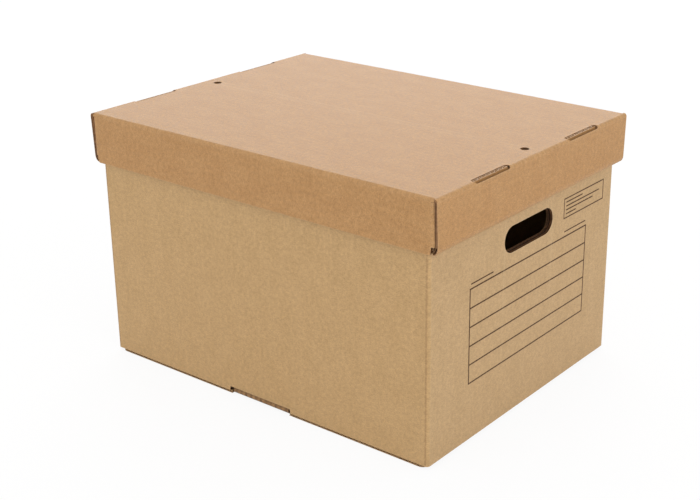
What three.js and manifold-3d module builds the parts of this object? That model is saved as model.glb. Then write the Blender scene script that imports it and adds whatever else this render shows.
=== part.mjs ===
// Corrugated document box with a lift-off lid, in millimetres, Z up.
// The body is one wrapped sheet and the lid is another, and each panel between two creases is a
// piece of its own. The origin is under the middle of the box, and +X points at the labelled end.
import * as THREE from 'three';
import { mergeVertices } from 'three/addons/utils/BufferGeometryUtils.js';
import Module from 'manifold-3d';

const wasm = await Module();
wasm.setup();

// Driving sizes of the folded box
const bodyLength = 400;
const bodyWidth = 310;
const boxHeight = 255;
const board = 2.8;
const foldInside = 0.4;
const creaseGap = 0.3;
const overrun = 30;
const foldSteps = 6;
const cornerSteps = 5;

// The handle holes, and the top rim that turns over into the box at each end
const handleWidth = 82;
const handleHeight = 26;
const handleRise = 178.5;
const handleInset = 1.2;
const rimGap = 0.8;
const rimEndPlay = 0.8;
const innerEndFootPlay = 0.4;
const innerEndFootCorner = 9;
const glueTabWidth = 36;
const glueTabTaper = 12;
const glueLine = 0.2;

// The floor flaps, the lock tongue and its slot
const endFlapReach = 132;
const frontFlapReach = 74;
const flapCorner = 7;
const flapRootPlay = 0.4;
const flapStepPlay = 2.2;
const rearFlapSidePlay = 2.6;
const rearFlapTaper = 2;
const rearFlapFrontPlay = 0.8;
const lockSlotWidth = 78;
const lockSlotAboveCrease = 3.6;
const lockSlotCorner = 2;
const tonguePlay = 3.5;
const tongueSetback = 1.4;
const tongueHeight = 26;
const tongueTaper = 6;
const tongueCorner = 11;
const tongueLean = Math.PI / 4;
const tongueLeanLength = 2.6;
const tongueRelief = 2;
const tongueRoom = 1;

// The lid, a tray whose ends roll over its corner flaps and lock through its top
const lidDepth = 50;
const lidEndPlay = 1.2;
const lidSidePlay = 0.6;
const lidEndLayers = 3;
const lidRimRise = 7;
const skirtFootCurve = 6;
const cornerFlapReach = 48;
const cornerFlapTaper = 3;
const cornerFlapCorner = 6;
const cornerFlapPlay = 0.4;
const lidInnerEndPlay = 0.8;
const lidInnerTopPlay = 0.4;
const lidSlotLength = 56;
const lidSlotSetback = 82.4;
const lidSlotWidth = 7;
const lockTabPlay = 2.2;
const lockTabInset = 0.6;
const lockTabStandBelow = 0.5;
const lockTabCorner = 3;
const lockTabLean = 2.4;
const lockTabBendTop = 6;
const lockTabBendFoot = 18;
const lockTabSlit = 1;
const airHoleDiameter = 8.5;
const airHoleInset = 17.5;

// Places that follow from the sizes of the body
const foldOutside = foldInside + board;
const halfLength = bodyLength / 2;
const halfWidth = bodyWidth / 2;
const bodyHeight = boxHeight - board;
const wallInnerX = halfLength - board;
const wallInnerY = halfWidth - board;
const cornerX = halfLength - foldOutside;
const cornerY = halfWidth - foldOutside;
const rimOutside = board + rimGap / 2;
const rimBase = bodyHeight - rimOutside;
const innerEndOuterX = wallInnerX - rimGap;
const innerEndInnerX = innerEndOuterX - board;
const innerEndFoot = board + board + innerEndFootPlay;
const tabOuterY = wallInnerY - glueLine;
const tabInnerY = tabOuterY - board;
const tabFoldY = tabOuterY - foldOutside;
const rightEndRear = cornerY;
const leftEndRear = tabFoldY;
const rightRimRear = wallInnerY - rimEndPlay;
const leftRimRear = tabInnerY - rimEndPlay;
const tongueWidth = lockSlotWidth - tonguePlay - tonguePlay;
const tongueOuterY = wallInnerY - tongueSetback;
const tongueFoldY =
  tongueOuterY - foldOutside * Math.cos(tongueLean) + tongueLeanLength * Math.sin(tongueLean);

// Places that follow from the sizes of the lid, with Z counted from the underside of its top
const lidInnerX = halfLength + lidEndPlay;
const lidHalfLength = lidInnerX + lidEndLayers * board;
const lidSkirtInnerY = halfWidth + lidSidePlay;
const lidHalfWidth = lidSkirtInnerY + board;
const lidCornerX = lidHalfLength - foldOutside;
const lidCornerY = lidHalfWidth - foldOutside;
const lidFlapOuterX = lidHalfLength - board;
const lidFlapInnerX = lidFlapOuterX - board;
const lidFlapFoldX = lidFlapOuterX - foldOutside;
const lidInnerEndOuterX = lidInnerX + board;
const lidInnerEndSideY = lidSkirtInnerY - lidInnerEndPlay;
const lidFoot = board - lidDepth;
const lidPanelTop = -foldInside;
const lidOuterEndFoot = lidFoot + lidRimRise;
const lidInnerEndFoot = lidFoot + foldOutside;
const lidRimFoldX = lidInnerX + foldOutside;
const lidRimReach = lidHalfLength - lidRimFoldX;
const cornerFlapFoot = lidOuterEndFoot + cornerFlapPlay;
const lockTabWidth = lidSlotLength - lockTabPlay - lockTabPlay;
const lidSlotInnerX = lidInnerX + lockTabLean - lockTabInset;
const lidSlotCentreY = lidHalfWidth - lidSlotSetback;

const axisIndex = { x: 0, y: 1, z: 2 };

/** A solid that can be joined and cut, from a closed geometry. */
function toSolid(geometry) {
  geometry.deleteAttribute('normal');
  geometry.deleteAttribute('uv');
  const merged = mergeVertices(geometry);
  const vertProperties = new Float32Array(merged.attributes.position.array);
  const triVerts = new Uint32Array(merged.index.array);
  return new wasm.Manifold(new wasm.Mesh({ numProp: 3, vertProperties, triVerts }));
}

/**
 * A flat shape extruded along one axis from low to high. The shape is drawn in the other two axes,
 * as x and y, y and z, or x and z, and its end faces lie exactly at the given places.
 */
function prism(shape, axis, low, high, curveSegments = foldSteps) {
  const options = { depth: 1, bevelEnabled: false, curveSegments };
  const geometry = new THREE.ExtrudeGeometry(shape, options);
  const position = geometry.attributes.position;
  const index = [];
  for (let i = 0; i < position.count; i += 1) {
    const u = position.getX(i);
    const v = position.getY(i);
    const along = position.getZ(i) === 0 ? low : high;
    if (axis === 'x') position.setXYZ(i, along, u, v);
    if (axis === 'y') position.setXYZ(i, u, along, v);
    if (axis === 'z') position.setXYZ(i, u, v, along);
    index.push(i);
  }
  geometry.setIndex(axis === 'y' ? index.reverse() : index);
  return toSolid(geometry);
}

/** A closed outline through [u, v, radius] corners, each rounded off by its radius. */
function dieCut(corners) {
  const shape = new THREE.Shape();
  corners.forEach(([u, v, radius], i) => {
    const here = new THREE.Vector2(u, v);
    const [beforeU, beforeV] = corners[(i + corners.length - 1) % corners.length];
    const [afterU, afterV] = corners[(i + 1) % corners.length];
    const back = new THREE.Vector2(beforeU, beforeV).sub(here).normalize();
    const onward = new THREE.Vector2(afterU, afterV).sub(here).normalize();
    const start = here.clone().addScaledVector(back, radius);
    const end = here.clone().addScaledVector(onward, radius);
    if (i === 0) shape.moveTo(start.x, start.y);
    else shape.lineTo(start.x, start.y);
    if (radius > 0) shape.quadraticCurveTo(u, v, end.x, end.y);
  });
  return shape.closePath();
}

/** A block between two corners. */
function block(xLow, xHigh, yLow, yHigh, zLow, zHigh) {
  const corners = [[xLow, yLow, 0], [xHigh, yLow, 0], [xHigh, yHigh, 0], [xLow, yHigh, 0]];
  return prism(dieCut(corners), 'z', zLow, zHigh);
}

/** An opening with half-round ends, longer along u. */
function roundSlot(centreU, centreV, length, width) {
  const radius = width / 2;
  const run = length / 2 - radius;
  return new THREE.Shape()
    .absarc(centreU + run, centreV, radius, -Math.PI / 2, Math.PI / 2, false)
    .absarc(centreU - run, centreV, radius, Math.PI / 2, Math.PI * 1.5, false)
    .closePath();
}

/** The section of a creased corner of the board, from one angle to a larger one. */
function creaseSection(centreU, centreV, from, to) {
  return new THREE.Shape()
    .absarc(centreU, centreV, foldOutside, from, to, false)
    .absarc(centreU, centreV, foldInside, to, from, true)
    .closePath();
}

/** The mirror image of a solid about the middle of the box. */
function mirrored(solid, axis) {
  const mesh = solid.getMesh();
  const vertProperties = new Float32Array(mesh.vertProperties);
  for (let i = axisIndex[axis]; i < vertProperties.length; i += mesh.numProp) {
    vertProperties[i] = -vertProperties[i];
  }
  const triVerts = new Uint32Array(mesh.triVerts).reverse();
  return new wasm.Manifold(new wasm.Mesh({ numProp: mesh.numProp, vertProperties, triVerts }));
}

/** A solid together with its mirror image. */
function both(solid, axis) {
  return solid.add(mirrored(solid, axis));
}

const creaseShift = (creaseGap / 2) * Math.SQRT2;

/**
 * What a floor crease takes from the foot of the walls: the space under the 45 degree plane that
 * rises inward from the crease, which lies at outer and at base height.
 */
function underCrease(axis, outer, base) {
  const section = dieCut([
    [outer + overrun, base - overrun + creaseShift, 0],
    [outer - foldOutside, base + foldOutside + creaseShift, 0],
    [outer - foldOutside, base - overrun, 0],
  ]);
  const across = axis === 'x' ? 'y' : 'x';
  return both(prism(section, across, -bodyLength, bodyLength), axis);
}

/** A floor flap whose root is cut along the same plane, so that it can swing down past its wall. */
function creasedFlap(outline, axis, outer, base) {
  const section = dieCut([
    [outer + overrun, base - overrun - creaseShift, 0],
    [outer + overrun, base + overrun, 0],
    [outer - overrun, base + overrun - creaseShift, 0],
  ]);
  const across = axis === 'x' ? 'y' : 'x';
  const overCrease = prism(section, across, -bodyLength, bodyLength);
  return prism(outline, 'z', base, base + board, cornerSteps).subtract(overCrease);
}

/** The front wall, with the corner fold at each end and the lock slot in its foot. */
function frontWall() {
  const plate = block(-cornerX, cornerX, -halfWidth, -wallInnerY, board, bodyHeight);
  const corner = prism(creaseSection(cornerX, -cornerY, -Math.PI / 2, 0), 'z', board, bodyHeight);
  const slot = dieCut([
    [-lockSlotWidth / 2, -overrun, 0],
    [lockSlotWidth / 2, -overrun, 0],
    [lockSlotWidth / 2, board + lockSlotAboveCrease, lockSlotCorner],
    [-lockSlotWidth / 2, board + lockSlotAboveCrease, lockSlotCorner],
  ]);
  return plate
    .add(both(corner, 'x'))
    .subtract(underCrease('y', halfWidth, board))
    .subtract(underCrease('x', halfLength, board))
    .subtract(prism(slot, 'y', -halfWidth - overrun, -wallInnerY + overrun, cornerSteps));
}

/** The rear wall, with a corner fold at the labelled end and a cut edge over the glue tab. */
function rearWall() {
  const plate = block(-halfLength, cornerX, wallInnerY, halfWidth, 0, bodyHeight);
  const corner = prism(creaseSection(cornerX, cornerY, 0, Math.PI / 2), 'z', board, bodyHeight);
  const cornerCrease = underCrease('x', halfLength, board);
  return plate.add(corner.subtract(cornerCrease)).subtract(underCrease('y', halfWidth, 0));
}

/** The outer board of the labelled end, with its handle hole. */
function endWall(rear) {
  const outline = dieCut([
    [-cornerY, board, 0],
    [rear, board, 0],
    [rear, rimBase, 0],
    [-cornerY, rimBase, 0],
  ]);
  outline.holes.push(roundSlot(0, handleRise, handleWidth, handleHeight));
  return prism(outline, 'x', wallInnerX, halfLength).subtract(underCrease('x', halfLength, board));
}

/** The strip of the left end that turns in behind the rear wall and is glued to it. */
function glueTab() {
  const section = creaseSection(-cornerX, tabFoldY, Math.PI / 2, Math.PI);
  const fold = prism(section, 'z', innerEndFoot, rimBase);
  const outline = dieCut([
    [-cornerX, innerEndFoot, 0],
    [glueTabWidth - halfLength, innerEndFoot + glueTabTaper, 0],
    [glueTabWidth - halfLength, rimBase - glueTabTaper, 0],
    [-cornerX, rimBase, 0],
  ]);
  return fold.add(prism(outline, 'y', tabInnerY, tabOuterY));
}

/** The top rim of an end, where the board turns over and down into the box. */
function rimFold(rear) {
  const centre = wallInnerX - rimGap / 2;
  const section = new THREE.Shape()
    .absarc(centre, rimBase, rimOutside, 0, Math.PI, false)
    .absarc(centre, rimBase, rimGap / 2, Math.PI, 0, true)
    .closePath();
  return prism(section, 'y', rimEndPlay - wallInnerY, rear, foldSteps * 2);
}

/** The inner board of an end, which hangs from the rim down to the floor flaps. */
function innerEnd(rear) {
  const outline = dieCut([
    [rimEndPlay - wallInnerY, innerEndFoot, innerEndFootCorner],
    [rear, innerEndFoot, innerEndFootCorner],
    [rear, rimBase, 0],
    [rimEndPlay - wallInnerY, rimBase, 0],
  ]);
  outline.holes.push(roundSlot(0, handleRise, handleWidth - handleInset, handleHeight - handleInset));
  return prism(outline, 'x', innerEndInnerX, innerEndOuterX);
}

/** The floor flap of an end, mitred at both corners and cut back beside the front flap. */
function endFlap() {
  const rootSide = wallInnerY - flapRootPlay;
  const tip = halfLength - endFlapReach;
  const step = frontFlapReach + flapStepPlay;
  const outline = dieCut([
    [halfLength, -rootSide, 0],
    [halfLength, rootSide, 0],
    [tip, rootSide - endFlapReach, flapCorner],
    [tip, step - halfWidth, flapCorner],
    [halfLength - step + halfWidth - rootSide, step - halfWidth, 0],
  ]);
  return creasedFlap(outline, 'x', halfLength, board);
}

/** The short front floor flap, cut out where the lock tongue passes. */
function frontFlap() {
  const rootSide = wallInnerX - flapRootPlay;
  const outline = dieCut([
    [rootSide, halfWidth, 0],
    [-rootSide, halfWidth, 0],
    [frontFlapReach - rootSide, halfWidth - frontFlapReach, flapCorner],
    [rootSide - frontFlapReach, halfWidth - frontFlapReach, flapCorner],
  ]);
  const cutSide = lockSlotWidth / 2;
  const cutReach = tongueOuterY - board - tongueRoom;
  const cut = block(-cutSide, cutSide, cutReach, halfWidth + overrun, -overrun, overrun);
  return mirrored(creasedFlap(outline, 'y', halfWidth, board).subtract(cut), 'y');
}

/** The full rear floor flap, the lowest layer, notched round the fold of its tongue. */
function rearFlap() {
  const rootSide = halfLength - rearFlapSidePlay;
  const tipSide = rootSide - rearFlapTaper;
  const tip = rearFlapFrontPlay - halfWidth;
  const outline = dieCut([
    [rootSide, halfWidth, 0],
    [-rootSide, halfWidth, 0],
    [-tipSide, tip, flapCorner],
    [tipSide, tip, flapCorner],
  ]);
  const notchSide = tongueWidth / 2 + tongueRelief;
  const notch = block(-notchSide, notchSide, tip - overrun, -tongueFoldY, -overrun, overrun);
  return creasedFlap(outline, 'y', halfWidth, 0).subtract(notch);
}

/** The lock tongue: it turns up from the rear flap, leans in past the slot and stands inside. */
function lockTongue() {
  const cos = Math.cos(tongueLean);
  const sin = Math.sin(tongueLean);
  const innerY = tongueOuterY - board;
  const outerBend = foldOutside + foldOutside * sin + tongueLeanLength * cos;
  const innerRun = (tongueFoldY + foldInside * cos - innerY) / sin;
  const innerBend = foldOutside + foldInside * sin + innerRun * cos;
  const section = new THREE.Shape()
    .absarc(tongueFoldY, foldOutside, foldOutside, -Math.PI / 2, tongueLean, false)
    .lineTo(tongueOuterY, outerBend)
    .lineTo(tongueOuterY, tongueHeight)
    .lineTo(innerY, tongueHeight)
    .lineTo(innerY, innerBend)
    .absarc(tongueFoldY, foldOutside, foldInside, tongueLean, -Math.PI / 2, true)
    .closePath();
  const outline = dieCut([
    [-tongueWidth / 2, -overrun, 0],
    [tongueWidth / 2, -overrun, 0],
    [tongueWidth / 2, board + board + board, 0],
    [tongueWidth / 2 - tongueTaper, tongueHeight, tongueCorner],
    [tongueTaper - tongueWidth / 2, tongueHeight, tongueCorner],
    [-tongueWidth / 2, board + board + board, 0],
  ]);
  const strip = prism(section, 'x', -tongueWidth / 2, tongueWidth / 2);
  return mirrored(strip.intersect(prism(outline, 'y', 0, bodyWidth, cornerSteps)), 'y');
}

/** The top of the lid with its four folds, its two air holes and the slots for the lock tabs. */
function lidTop() {
  const plate = block(-lidCornerX, lidCornerX, -lidCornerY, lidCornerY, 0, board);
  const endSection = creaseSection(lidCornerX, -foldInside, 0, Math.PI / 2);
  const sideSection = creaseSection(lidCornerY, -foldInside, 0, Math.PI / 2);
  const endFold = prism(endSection, 'y', -lidHalfWidth, lidHalfWidth);
  const sideFold = prism(sideSection, 'x', -lidCornerX, lidCornerX);
  const slotX = lidSlotInnerX + lidSlotWidth / 2;
  const slotOutline = roundSlot(lidSlotCentreY, slotX, lidSlotLength, lidSlotWidth);
  const slot = turned(prism(slotOutline, 'z', -overrun, overrun));
  const holeOutline = new THREE.Shape();
  holeOutline.absarc(lidHalfLength - airHoleInset, 0, airHoleDiameter / 2, 0, Math.PI * 2, false);
  const hole = prism(holeOutline, 'z', -overrun, overrun, foldSteps * 2);
  return plate
    .add(both(endFold, 'x'))
    .add(both(sideFold, 'y'))
    .subtract(both(both(slot, 'y'), 'x'))
    .subtract(both(hole, 'x'));
}

/** A solid drawn along Y with its place along X as height, turned so that each is its own axis. */
function turned(solid) {
  const mesh = solid.getMesh();
  const vertProperties = new Float32Array(mesh.vertProperties);
  for (let i = 0; i < vertProperties.length; i += mesh.numProp) {
    [vertProperties[i], vertProperties[i + 1]] = [vertProperties[i + 1], vertProperties[i]];
  }
  const triVerts = new Uint32Array(mesh.triVerts).reverse();
  return new wasm.Manifold(new wasm.Mesh({ numProp: mesh.numProp, vertProperties, triVerts }));
}

/** A long side of the lid, its foot curved up at both ends to clear the rolled rims. */
function lidSkirt() {
  const curveX = lidFlapFoldX - skirtFootCurve;
  const section = new THREE.Shape()
    .moveTo(-curveX, lidFoot)
    .lineTo(curveX, lidFoot)
    .quadraticCurveTo(lidFlapFoldX, lidFoot, lidFlapFoldX, cornerFlapFoot)
    .lineTo(lidFlapFoldX, lidPanelTop)
    .lineTo(-lidFlapFoldX, lidPanelTop)
    .lineTo(-lidFlapFoldX, cornerFlapFoot)
    .quadraticCurveTo(-lidFlapFoldX, lidFoot, -curveX, lidFoot);
  return prism(section, 'y', -lidHalfWidth, -lidSkirtInnerY);
}

/** A corner flap: the end of a skirt, folded in between the two boards of the lid's end. */
function lidCornerFlap() {
  const top = lidPanelTop - cornerFlapPlay;
  const section = creaseSection(lidFlapFoldX, lidCornerY, 0, Math.PI / 2);
  const tip = lidHalfWidth - cornerFlapReach;
  const outline = dieCut([
    [lidCornerY, cornerFlapFoot, 0],
    [lidCornerY, top, 0],
    [tip, top - cornerFlapTaper, cornerFlapCorner],
    [tip, cornerFlapFoot + cornerFlapTaper, cornerFlapCorner],
  ]);
  const flap = prism(outline, 'x', lidFlapInnerX, lidFlapOuterX, cornerSteps);
  return flap.add(prism(section, 'z', cornerFlapFoot, top));
}

/** The outer board of the lid's end. */
function lidOuterEnd() {
  const from = lidFlapOuterX;
  return block(from, lidHalfLength, -lidHalfWidth, lidHalfWidth, lidOuterEndFoot, lidPanelTop);
}

/**
 * The rolled rim under the lid's end. Outside it sweeps round the corner flaps and runs the full
 * width, and its inner half, which turns up inside the lid, fits between the skirts.
 */
function lidRimFold() {
  const rise = lidOuterEndFoot;
  const inner = lidRimFoldX;
  const outerHalf = new THREE.Shape()
    .absellipse(inner, rise, lidRimReach, lidRimRise, -Math.PI / 2, 0, false)
    .absellipse(inner, rise, lidRimReach - board, lidRimRise - board, 0, -Math.PI / 2, true)
    .closePath();
  const innerHalf = creaseSection(inner, lidInnerEndFoot, -Math.PI, -Math.PI / 2);
  return prism(outerHalf, 'y', -lidHalfWidth, lidHalfWidth, foldSteps * 2).add(
    prism(innerHalf, 'y', -lidInnerEndSideY, lidInnerEndSideY)
  );
}

/** The inner board of the lid's end, with two lock tabs that lean out into the slots of the top. */
function lidInnerEnd() {
  const top = -lidInnerTopPlay;
  const side = lidInnerEndSideY;
  const plate = block(lidInnerX, lidInnerEndOuterX, -side, side, lidInnerEndFoot, top);
  const centre = lidSlotCentreY;
  const cutSide = lockTabWidth / 2 + lockTabSlit;
  const cut = block(0, lidHalfLength, centre - cutSide, centre + cutSide, -lockTabBendFoot, overrun);
  const tabTop = board - lockTabStandBelow;
  const tabRoot = -lockTabBendFoot - board;
  const section = dieCut([
    [lidInnerX, tabRoot, 0],
    [lidInnerEndOuterX, tabRoot, 0],
    [lidInnerEndOuterX, -lockTabBendFoot, 0],
    [lidInnerEndOuterX + lockTabLean, -lockTabBendTop, 0],
    [lidInnerEndOuterX + lockTabLean, tabTop, 0],
    [lidInnerX + lockTabLean, tabTop, 0],
    [lidInnerX + lockTabLean, -lockTabBendTop, 0],
    [lidInnerX, -lockTabBendFoot, 0],
  ]);
  const outline = dieCut([
    [centre - lockTabWidth / 2, -overrun, 0],
    [centre + lockTabWidth / 2, -overrun, 0],
    [centre + lockTabWidth / 2, tabTop, lockTabCorner],
    [centre - lockTabWidth / 2, tabTop, lockTabCorner],
  ]);
  const tab = prism(section, 'y', 0, lidHalfWidth).intersect(prism(outline, 'x', 0, lidHalfLength));
  return plate.subtract(both(cut, 'y')).add(both(tab, 'y'));
}

const kraft = {
  body: { color: 0xb9986e, roughness: 0.86, metalness: 0 },
  inside: { color: 0xa98a63, roughness: 0.9, metalness: 0 },
  lid: { color: 0xc9a47a, roughness: 0.85, metalness: 0 },
};

/** A named mesh of one panel. */
function panel(name, solid, finish) {
  const mesh = solid.getMesh();
  const geometry = new THREE.BufferGeometry();
  const positions = new Float32Array(mesh.vertProperties);
  geometry.setAttribute('position', new THREE.BufferAttribute(positions, 3));
  geometry.setIndex(new THREE.BufferAttribute(new Uint32Array(mesh.triVerts), 1));
  geometry.computeVertexNormals();
  const material = new THREE.MeshStandardMaterial({ ...finish, flatShading: true });
  const part = new THREE.Mesh(geometry, material);
  part.name = name;
  return part;
}

/** The walls, rims and inner ends, and the floor that folds under them. */
function body() {
  const group = new THREE.Group();
  group.name = 'body';
  const flap = endFlap();
  group.add(
    panel('front_wall', frontWall(), kraft.body),
    panel('rear_wall', rearWall(), kraft.body),
    panel('right_end_wall', endWall(rightEndRear), kraft.body),
    panel('left_end_wall', mirrored(endWall(leftEndRear), 'x'), kraft.body),
    panel('glue_tab', glueTab(), kraft.inside),
    panel('right_rim_fold', rimFold(rightRimRear), kraft.body),
    panel('left_rim_fold', mirrored(rimFold(leftRimRear), 'x'), kraft.body),
    panel('right_inner_end', innerEnd(rightRimRear), kraft.inside),
    panel('left_inner_end', mirrored(innerEnd(leftRimRear), 'x'), kraft.inside),
    panel('right_floor_flap', flap, kraft.inside),
    panel('left_floor_flap', mirrored(flap, 'x'), kraft.inside),
    panel('front_floor_flap', frontFlap(), kraft.inside),
    panel('rear_floor_flap', rearFlap(), kraft.body),
    panel('lock_tongue', lockTongue(), kraft.body)
  );
  return group;
}

/** The lid, whose top rests on the walls of the body. */
function lid() {
  const group = new THREE.Group();
  group.name = 'lid';
  group.position.z = bodyHeight;
  group.add(panel('lid_top', lidTop(), kraft.lid));
  group.add(panel('lid_front_skirt', lidSkirt(), kraft.lid));
  group.add(panel('lid_rear_skirt', mirrored(lidSkirt(), 'y'), kraft.lid));
  for (const side of ['right', 'left']) {
    const place = (solid) => (side === 'right' ? solid : mirrored(solid, 'x'));
    group.add(
      panel(`lid_${side}_outer_end`, place(lidOuterEnd()), kraft.lid),
      panel(`lid_${side}_rim_fold`, place(lidRimFold()), kraft.lid),
      panel(`lid_${side}_inner_end`, place(lidInnerEnd()), kraft.inside),
      panel(`lid_rear_${side}_corner_flap`, place(lidCornerFlap()), kraft.inside),
      panel(`lid_front_${side}_corner_flap`, mirrored(place(lidCornerFlap()), 'y'), kraft.inside)
    );
  }
  return group;
}

const box = new THREE.Group();
box.name = 'document_box';
box.add(body(), lid());

export default box;
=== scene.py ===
"""Corrugated kraft document box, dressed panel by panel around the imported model.

Every panel is made as the real board is: two liners with a fluted sheet between them. A panel is
drawn on its flat blank, across and along its flutes, and then placed or carried round its folds, so
that flutes, paper grain and print run on from one panel to the next. Shapes are in millimetres;
materials, lights and finished meshes are in metres.
"""

import logging
import math
from collections.abc import Callable, Sequence
from dataclasses import dataclass, replace
from enum import Enum, IntEnum

import bpy
import numpy as np
from mathutils import Matrix

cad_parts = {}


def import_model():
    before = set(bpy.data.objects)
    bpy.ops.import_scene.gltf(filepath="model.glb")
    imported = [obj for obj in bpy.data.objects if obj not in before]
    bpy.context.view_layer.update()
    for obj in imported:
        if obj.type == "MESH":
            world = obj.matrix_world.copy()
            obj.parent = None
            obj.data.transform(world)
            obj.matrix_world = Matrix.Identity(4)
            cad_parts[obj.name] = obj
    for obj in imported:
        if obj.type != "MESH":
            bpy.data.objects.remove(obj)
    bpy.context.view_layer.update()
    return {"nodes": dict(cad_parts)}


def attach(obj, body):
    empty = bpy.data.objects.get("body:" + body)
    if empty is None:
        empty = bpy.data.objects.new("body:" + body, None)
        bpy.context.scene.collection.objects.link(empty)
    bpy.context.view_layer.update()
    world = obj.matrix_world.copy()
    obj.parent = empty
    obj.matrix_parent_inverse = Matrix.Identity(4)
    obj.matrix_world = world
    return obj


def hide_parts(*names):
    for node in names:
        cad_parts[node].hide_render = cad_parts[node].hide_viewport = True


LOG = logging.getLogger("document_box")
MM = 0.001
BLANK_MAP = "blank"
# Point attributes of wearing at cut edges and creases, which also carry painted highlight and painted shade.
CUT_WEAR_AND_SHADING = "cut_wear_and_shading"
CREASE_WEAR_AND_SHADING = "crease_wear_and_shading"
EPSILON = 0.01  # width of the column in which an outline jumps
TINY = 1e-6  # below this a triangle has collapsed; over a chain it keeps the places rising
LATTICE_PARTS = 5  # a column closer to the outline's own than a step over this is left out
DECIMALS = 4  # to which two columns of the outline count as one
CORNER_STEPS = 6  # spans of a rounded corner
ROUND_STEPS = 9  # spans of a quarter of an opening's round end
CUT_REACH = 0.5  # how far wearing and painted shading reach in from a cut edge
CREASE_REACH = 1.3  # from a crease
ROOT_REACH = 1.2  # from the end of a fold
SLOT_REACH = 3.0  # and how far a cut takes the wearing and painted shading of its crease away
PRINT_BLUR = 0.12  # half the width over which a printed line fades

Array = np.ndarray
Pair = tuple[float, float]
Fold = tuple[Pair, float, float]
Place = Callable[[Array, Array, Array], Array]
End = Array | float | Callable[[Array], Array]
Band = Callable[[Array], tuple[Array, Array]]
Socket = bpy.types.NodeSocket
Outputs = bpy.types.NodeOutputs
Direction = Sequence[float]
Kinds = dict[str, str]
Inputs = dict[str | int, object]
Shown = tuple[int, int, int]
Rgba = tuple[float, float, float, float]
Bar = tuple[float, float, float, float]


class Paper(IntEnum):
    """The paper that a face shows, which is also its place among a piece's materials."""

    FACE = 0
    BACK = 1
    FLUTE = 2
    EDGE = 3


class PaperSet(Enum):
    """The finishes of a panel, in the order of Paper."""

    BODY = "body_face body_back flute body_cut"
    PRINTED = "body_printed body_back flute body_cut"
    INNER = "body_face body_back flute inner_cut"
    INNER_END = "body_face end_lining flute inner_cut"
    TONGUE = "tongue body_back flute body_cut"
    FLOOR = "body_face body_back floor_flute floor_cut"
    LID = "lid_face lid_back lid_flute lid_cut"
    LID_RIM = "lid_face lid_back flute lid_skirt_cut"
    LID_END = "lid_face lid_back lid_end_flute lid_skirt_cut"
    # The tabs' back shows the lighter lid face paper, painted light in the shaded slots.
    LID_INNER = "lid_face lid_face lid_flute tab_cut"


class Side(Enum):
    """An end of the box, with the sign of X there."""

    RIGHT = 1.0
    LEFT = -1.0

    @property
    def word(self) -> str:
        """The side's name as it stands in the names of nodes."""
        return self.name.lower()


class Rim(Enum):
    """How a panel ends: cut, or carried on over a crease, or simply carried on."""

    CUT = "cut"
    CREASE = "crease"
    JOIN = "join"


ALL_CUT = (Rim.CUT, Rim.CUT, Rim.CUT, Rim.CUT)
ROOTED = (Rim.CREASE, Rim.CUT, Rim.CUT, Rim.CUT)
CARRIED = (Rim.JOIN, Rim.CUT, Rim.CUT, Rim.CUT)
STRIP = (Rim.JOIN, Rim.JOIN, Rim.CUT, Rim.CUT)


@dataclass(frozen=True)
class BoardStock:
    """Single wall corrugated board."""

    caliper: float = 2.8
    liner: float = 0.34
    medium: float = 0.26
    pitch: float = 6.4
    steps: int = 10
    washboard: float = 0.03
    fold_inside: float = 0.4
    fold_steps: int = 10

    @property
    def fold_outside(self) -> float:
        """Outside radius of a fold."""
        return self.fold_inside + self.caliper

    @property
    def fold_run(self) -> float:
        """Length of a right-angled fold along the middle of the board."""
        return math.pi / 2 * (self.fold_inside + self.caliper / 2)

    def layers(self, across: Array) -> list[tuple[Array, Array, Paper, Paper]]:
        """The depths of the three sheets, each as its near and far surface.

        A liner sinks a little between two tips of the flutes. The fluted sheet swings as a cosine
        between the liners, one turn to a flute, and is thicker along the depth where it is steep.

        Args:
            across: places across the flutes on the blank.

        Returns:
            Near depth, far depth, and the papers that the two surfaces show.
        """
        angle = 2 * np.pi * across / self.pitch
        turn = np.cos(angle)
        face = self.washboard * (1 + turn) / 2
        back = self.caliper - self.washboard * (1 - turn) / 2
        reach = self.caliper / 2 - self.liner - self.medium / 2 - self.washboard / 2
        middle = self.caliper / 2 + reach * turn
        half = self.medium / 2 * np.sqrt(1 + (reach * 2 * np.pi / self.pitch * np.sin(angle)) ** 2)
        return [
            (face, face + self.liner, Paper.FACE, Paper.FLUTE),
            (middle - half, middle + half, Paper.FLUTE, Paper.FLUTE),
            (back - self.liner, back, Paper.FLUTE, Paper.BACK),
        ]


STOCK = BoardStock()


def fade(distance: Array, reach: float) -> Array:
    """1 up to a distance of 0, and falling off past it as an exponential."""
    return np.exp(-np.maximum(distance, 0) / reach)


def arc(centre: Pair, radius: float | Pair, start: float, end: float, steps: int = STOCK.fold_steps) -> Array:
    """Points on an ellipse: the centre plus each half-axis times the cosine or sine of the angle.

    Args:
        centre: the middle of the ellipse.
        radius: its half-axes, or one radius.
        start: first angle in degrees.
        end: last angle in degrees.
        steps: number of spans.

    Returns:
        The points, one to a row.
    """
    angle = np.radians(np.linspace(start, end, steps + 1))
    return np.array(centre) + np.array(radius) * np.stack([np.cos(angle), np.sin(angle)], 1)


def rounded(corners: Sequence[tuple[float, float, float]]) -> Array:
    """A chain of straight lines whose corners are rounded by a quadratic curve.

    Args:
        corners: the corners as place across, place along and radius.

    Returns:
        The points of the chain, one to a row.
    """
    points: list[Array] = []
    share = np.linspace(0, 1, CORNER_STEPS + 1)[:, None]
    for index, (u, v, radius) in enumerate(corners):
        here = np.array([u, v])
        if radius == 0:
            points.append(here[None])
            continue
        before = np.array(corners[index - 1][:2]) - here
        after = np.array(corners[index + 1][:2]) - here
        start = here + before / np.linalg.norm(before) * radius
        end = here + after / np.linalg.norm(after) * radius
        points.append(start * (1 - share) ** 2 + here * 2 * share * (1 - share) + end * share**2)
    return np.concatenate(points)


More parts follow.
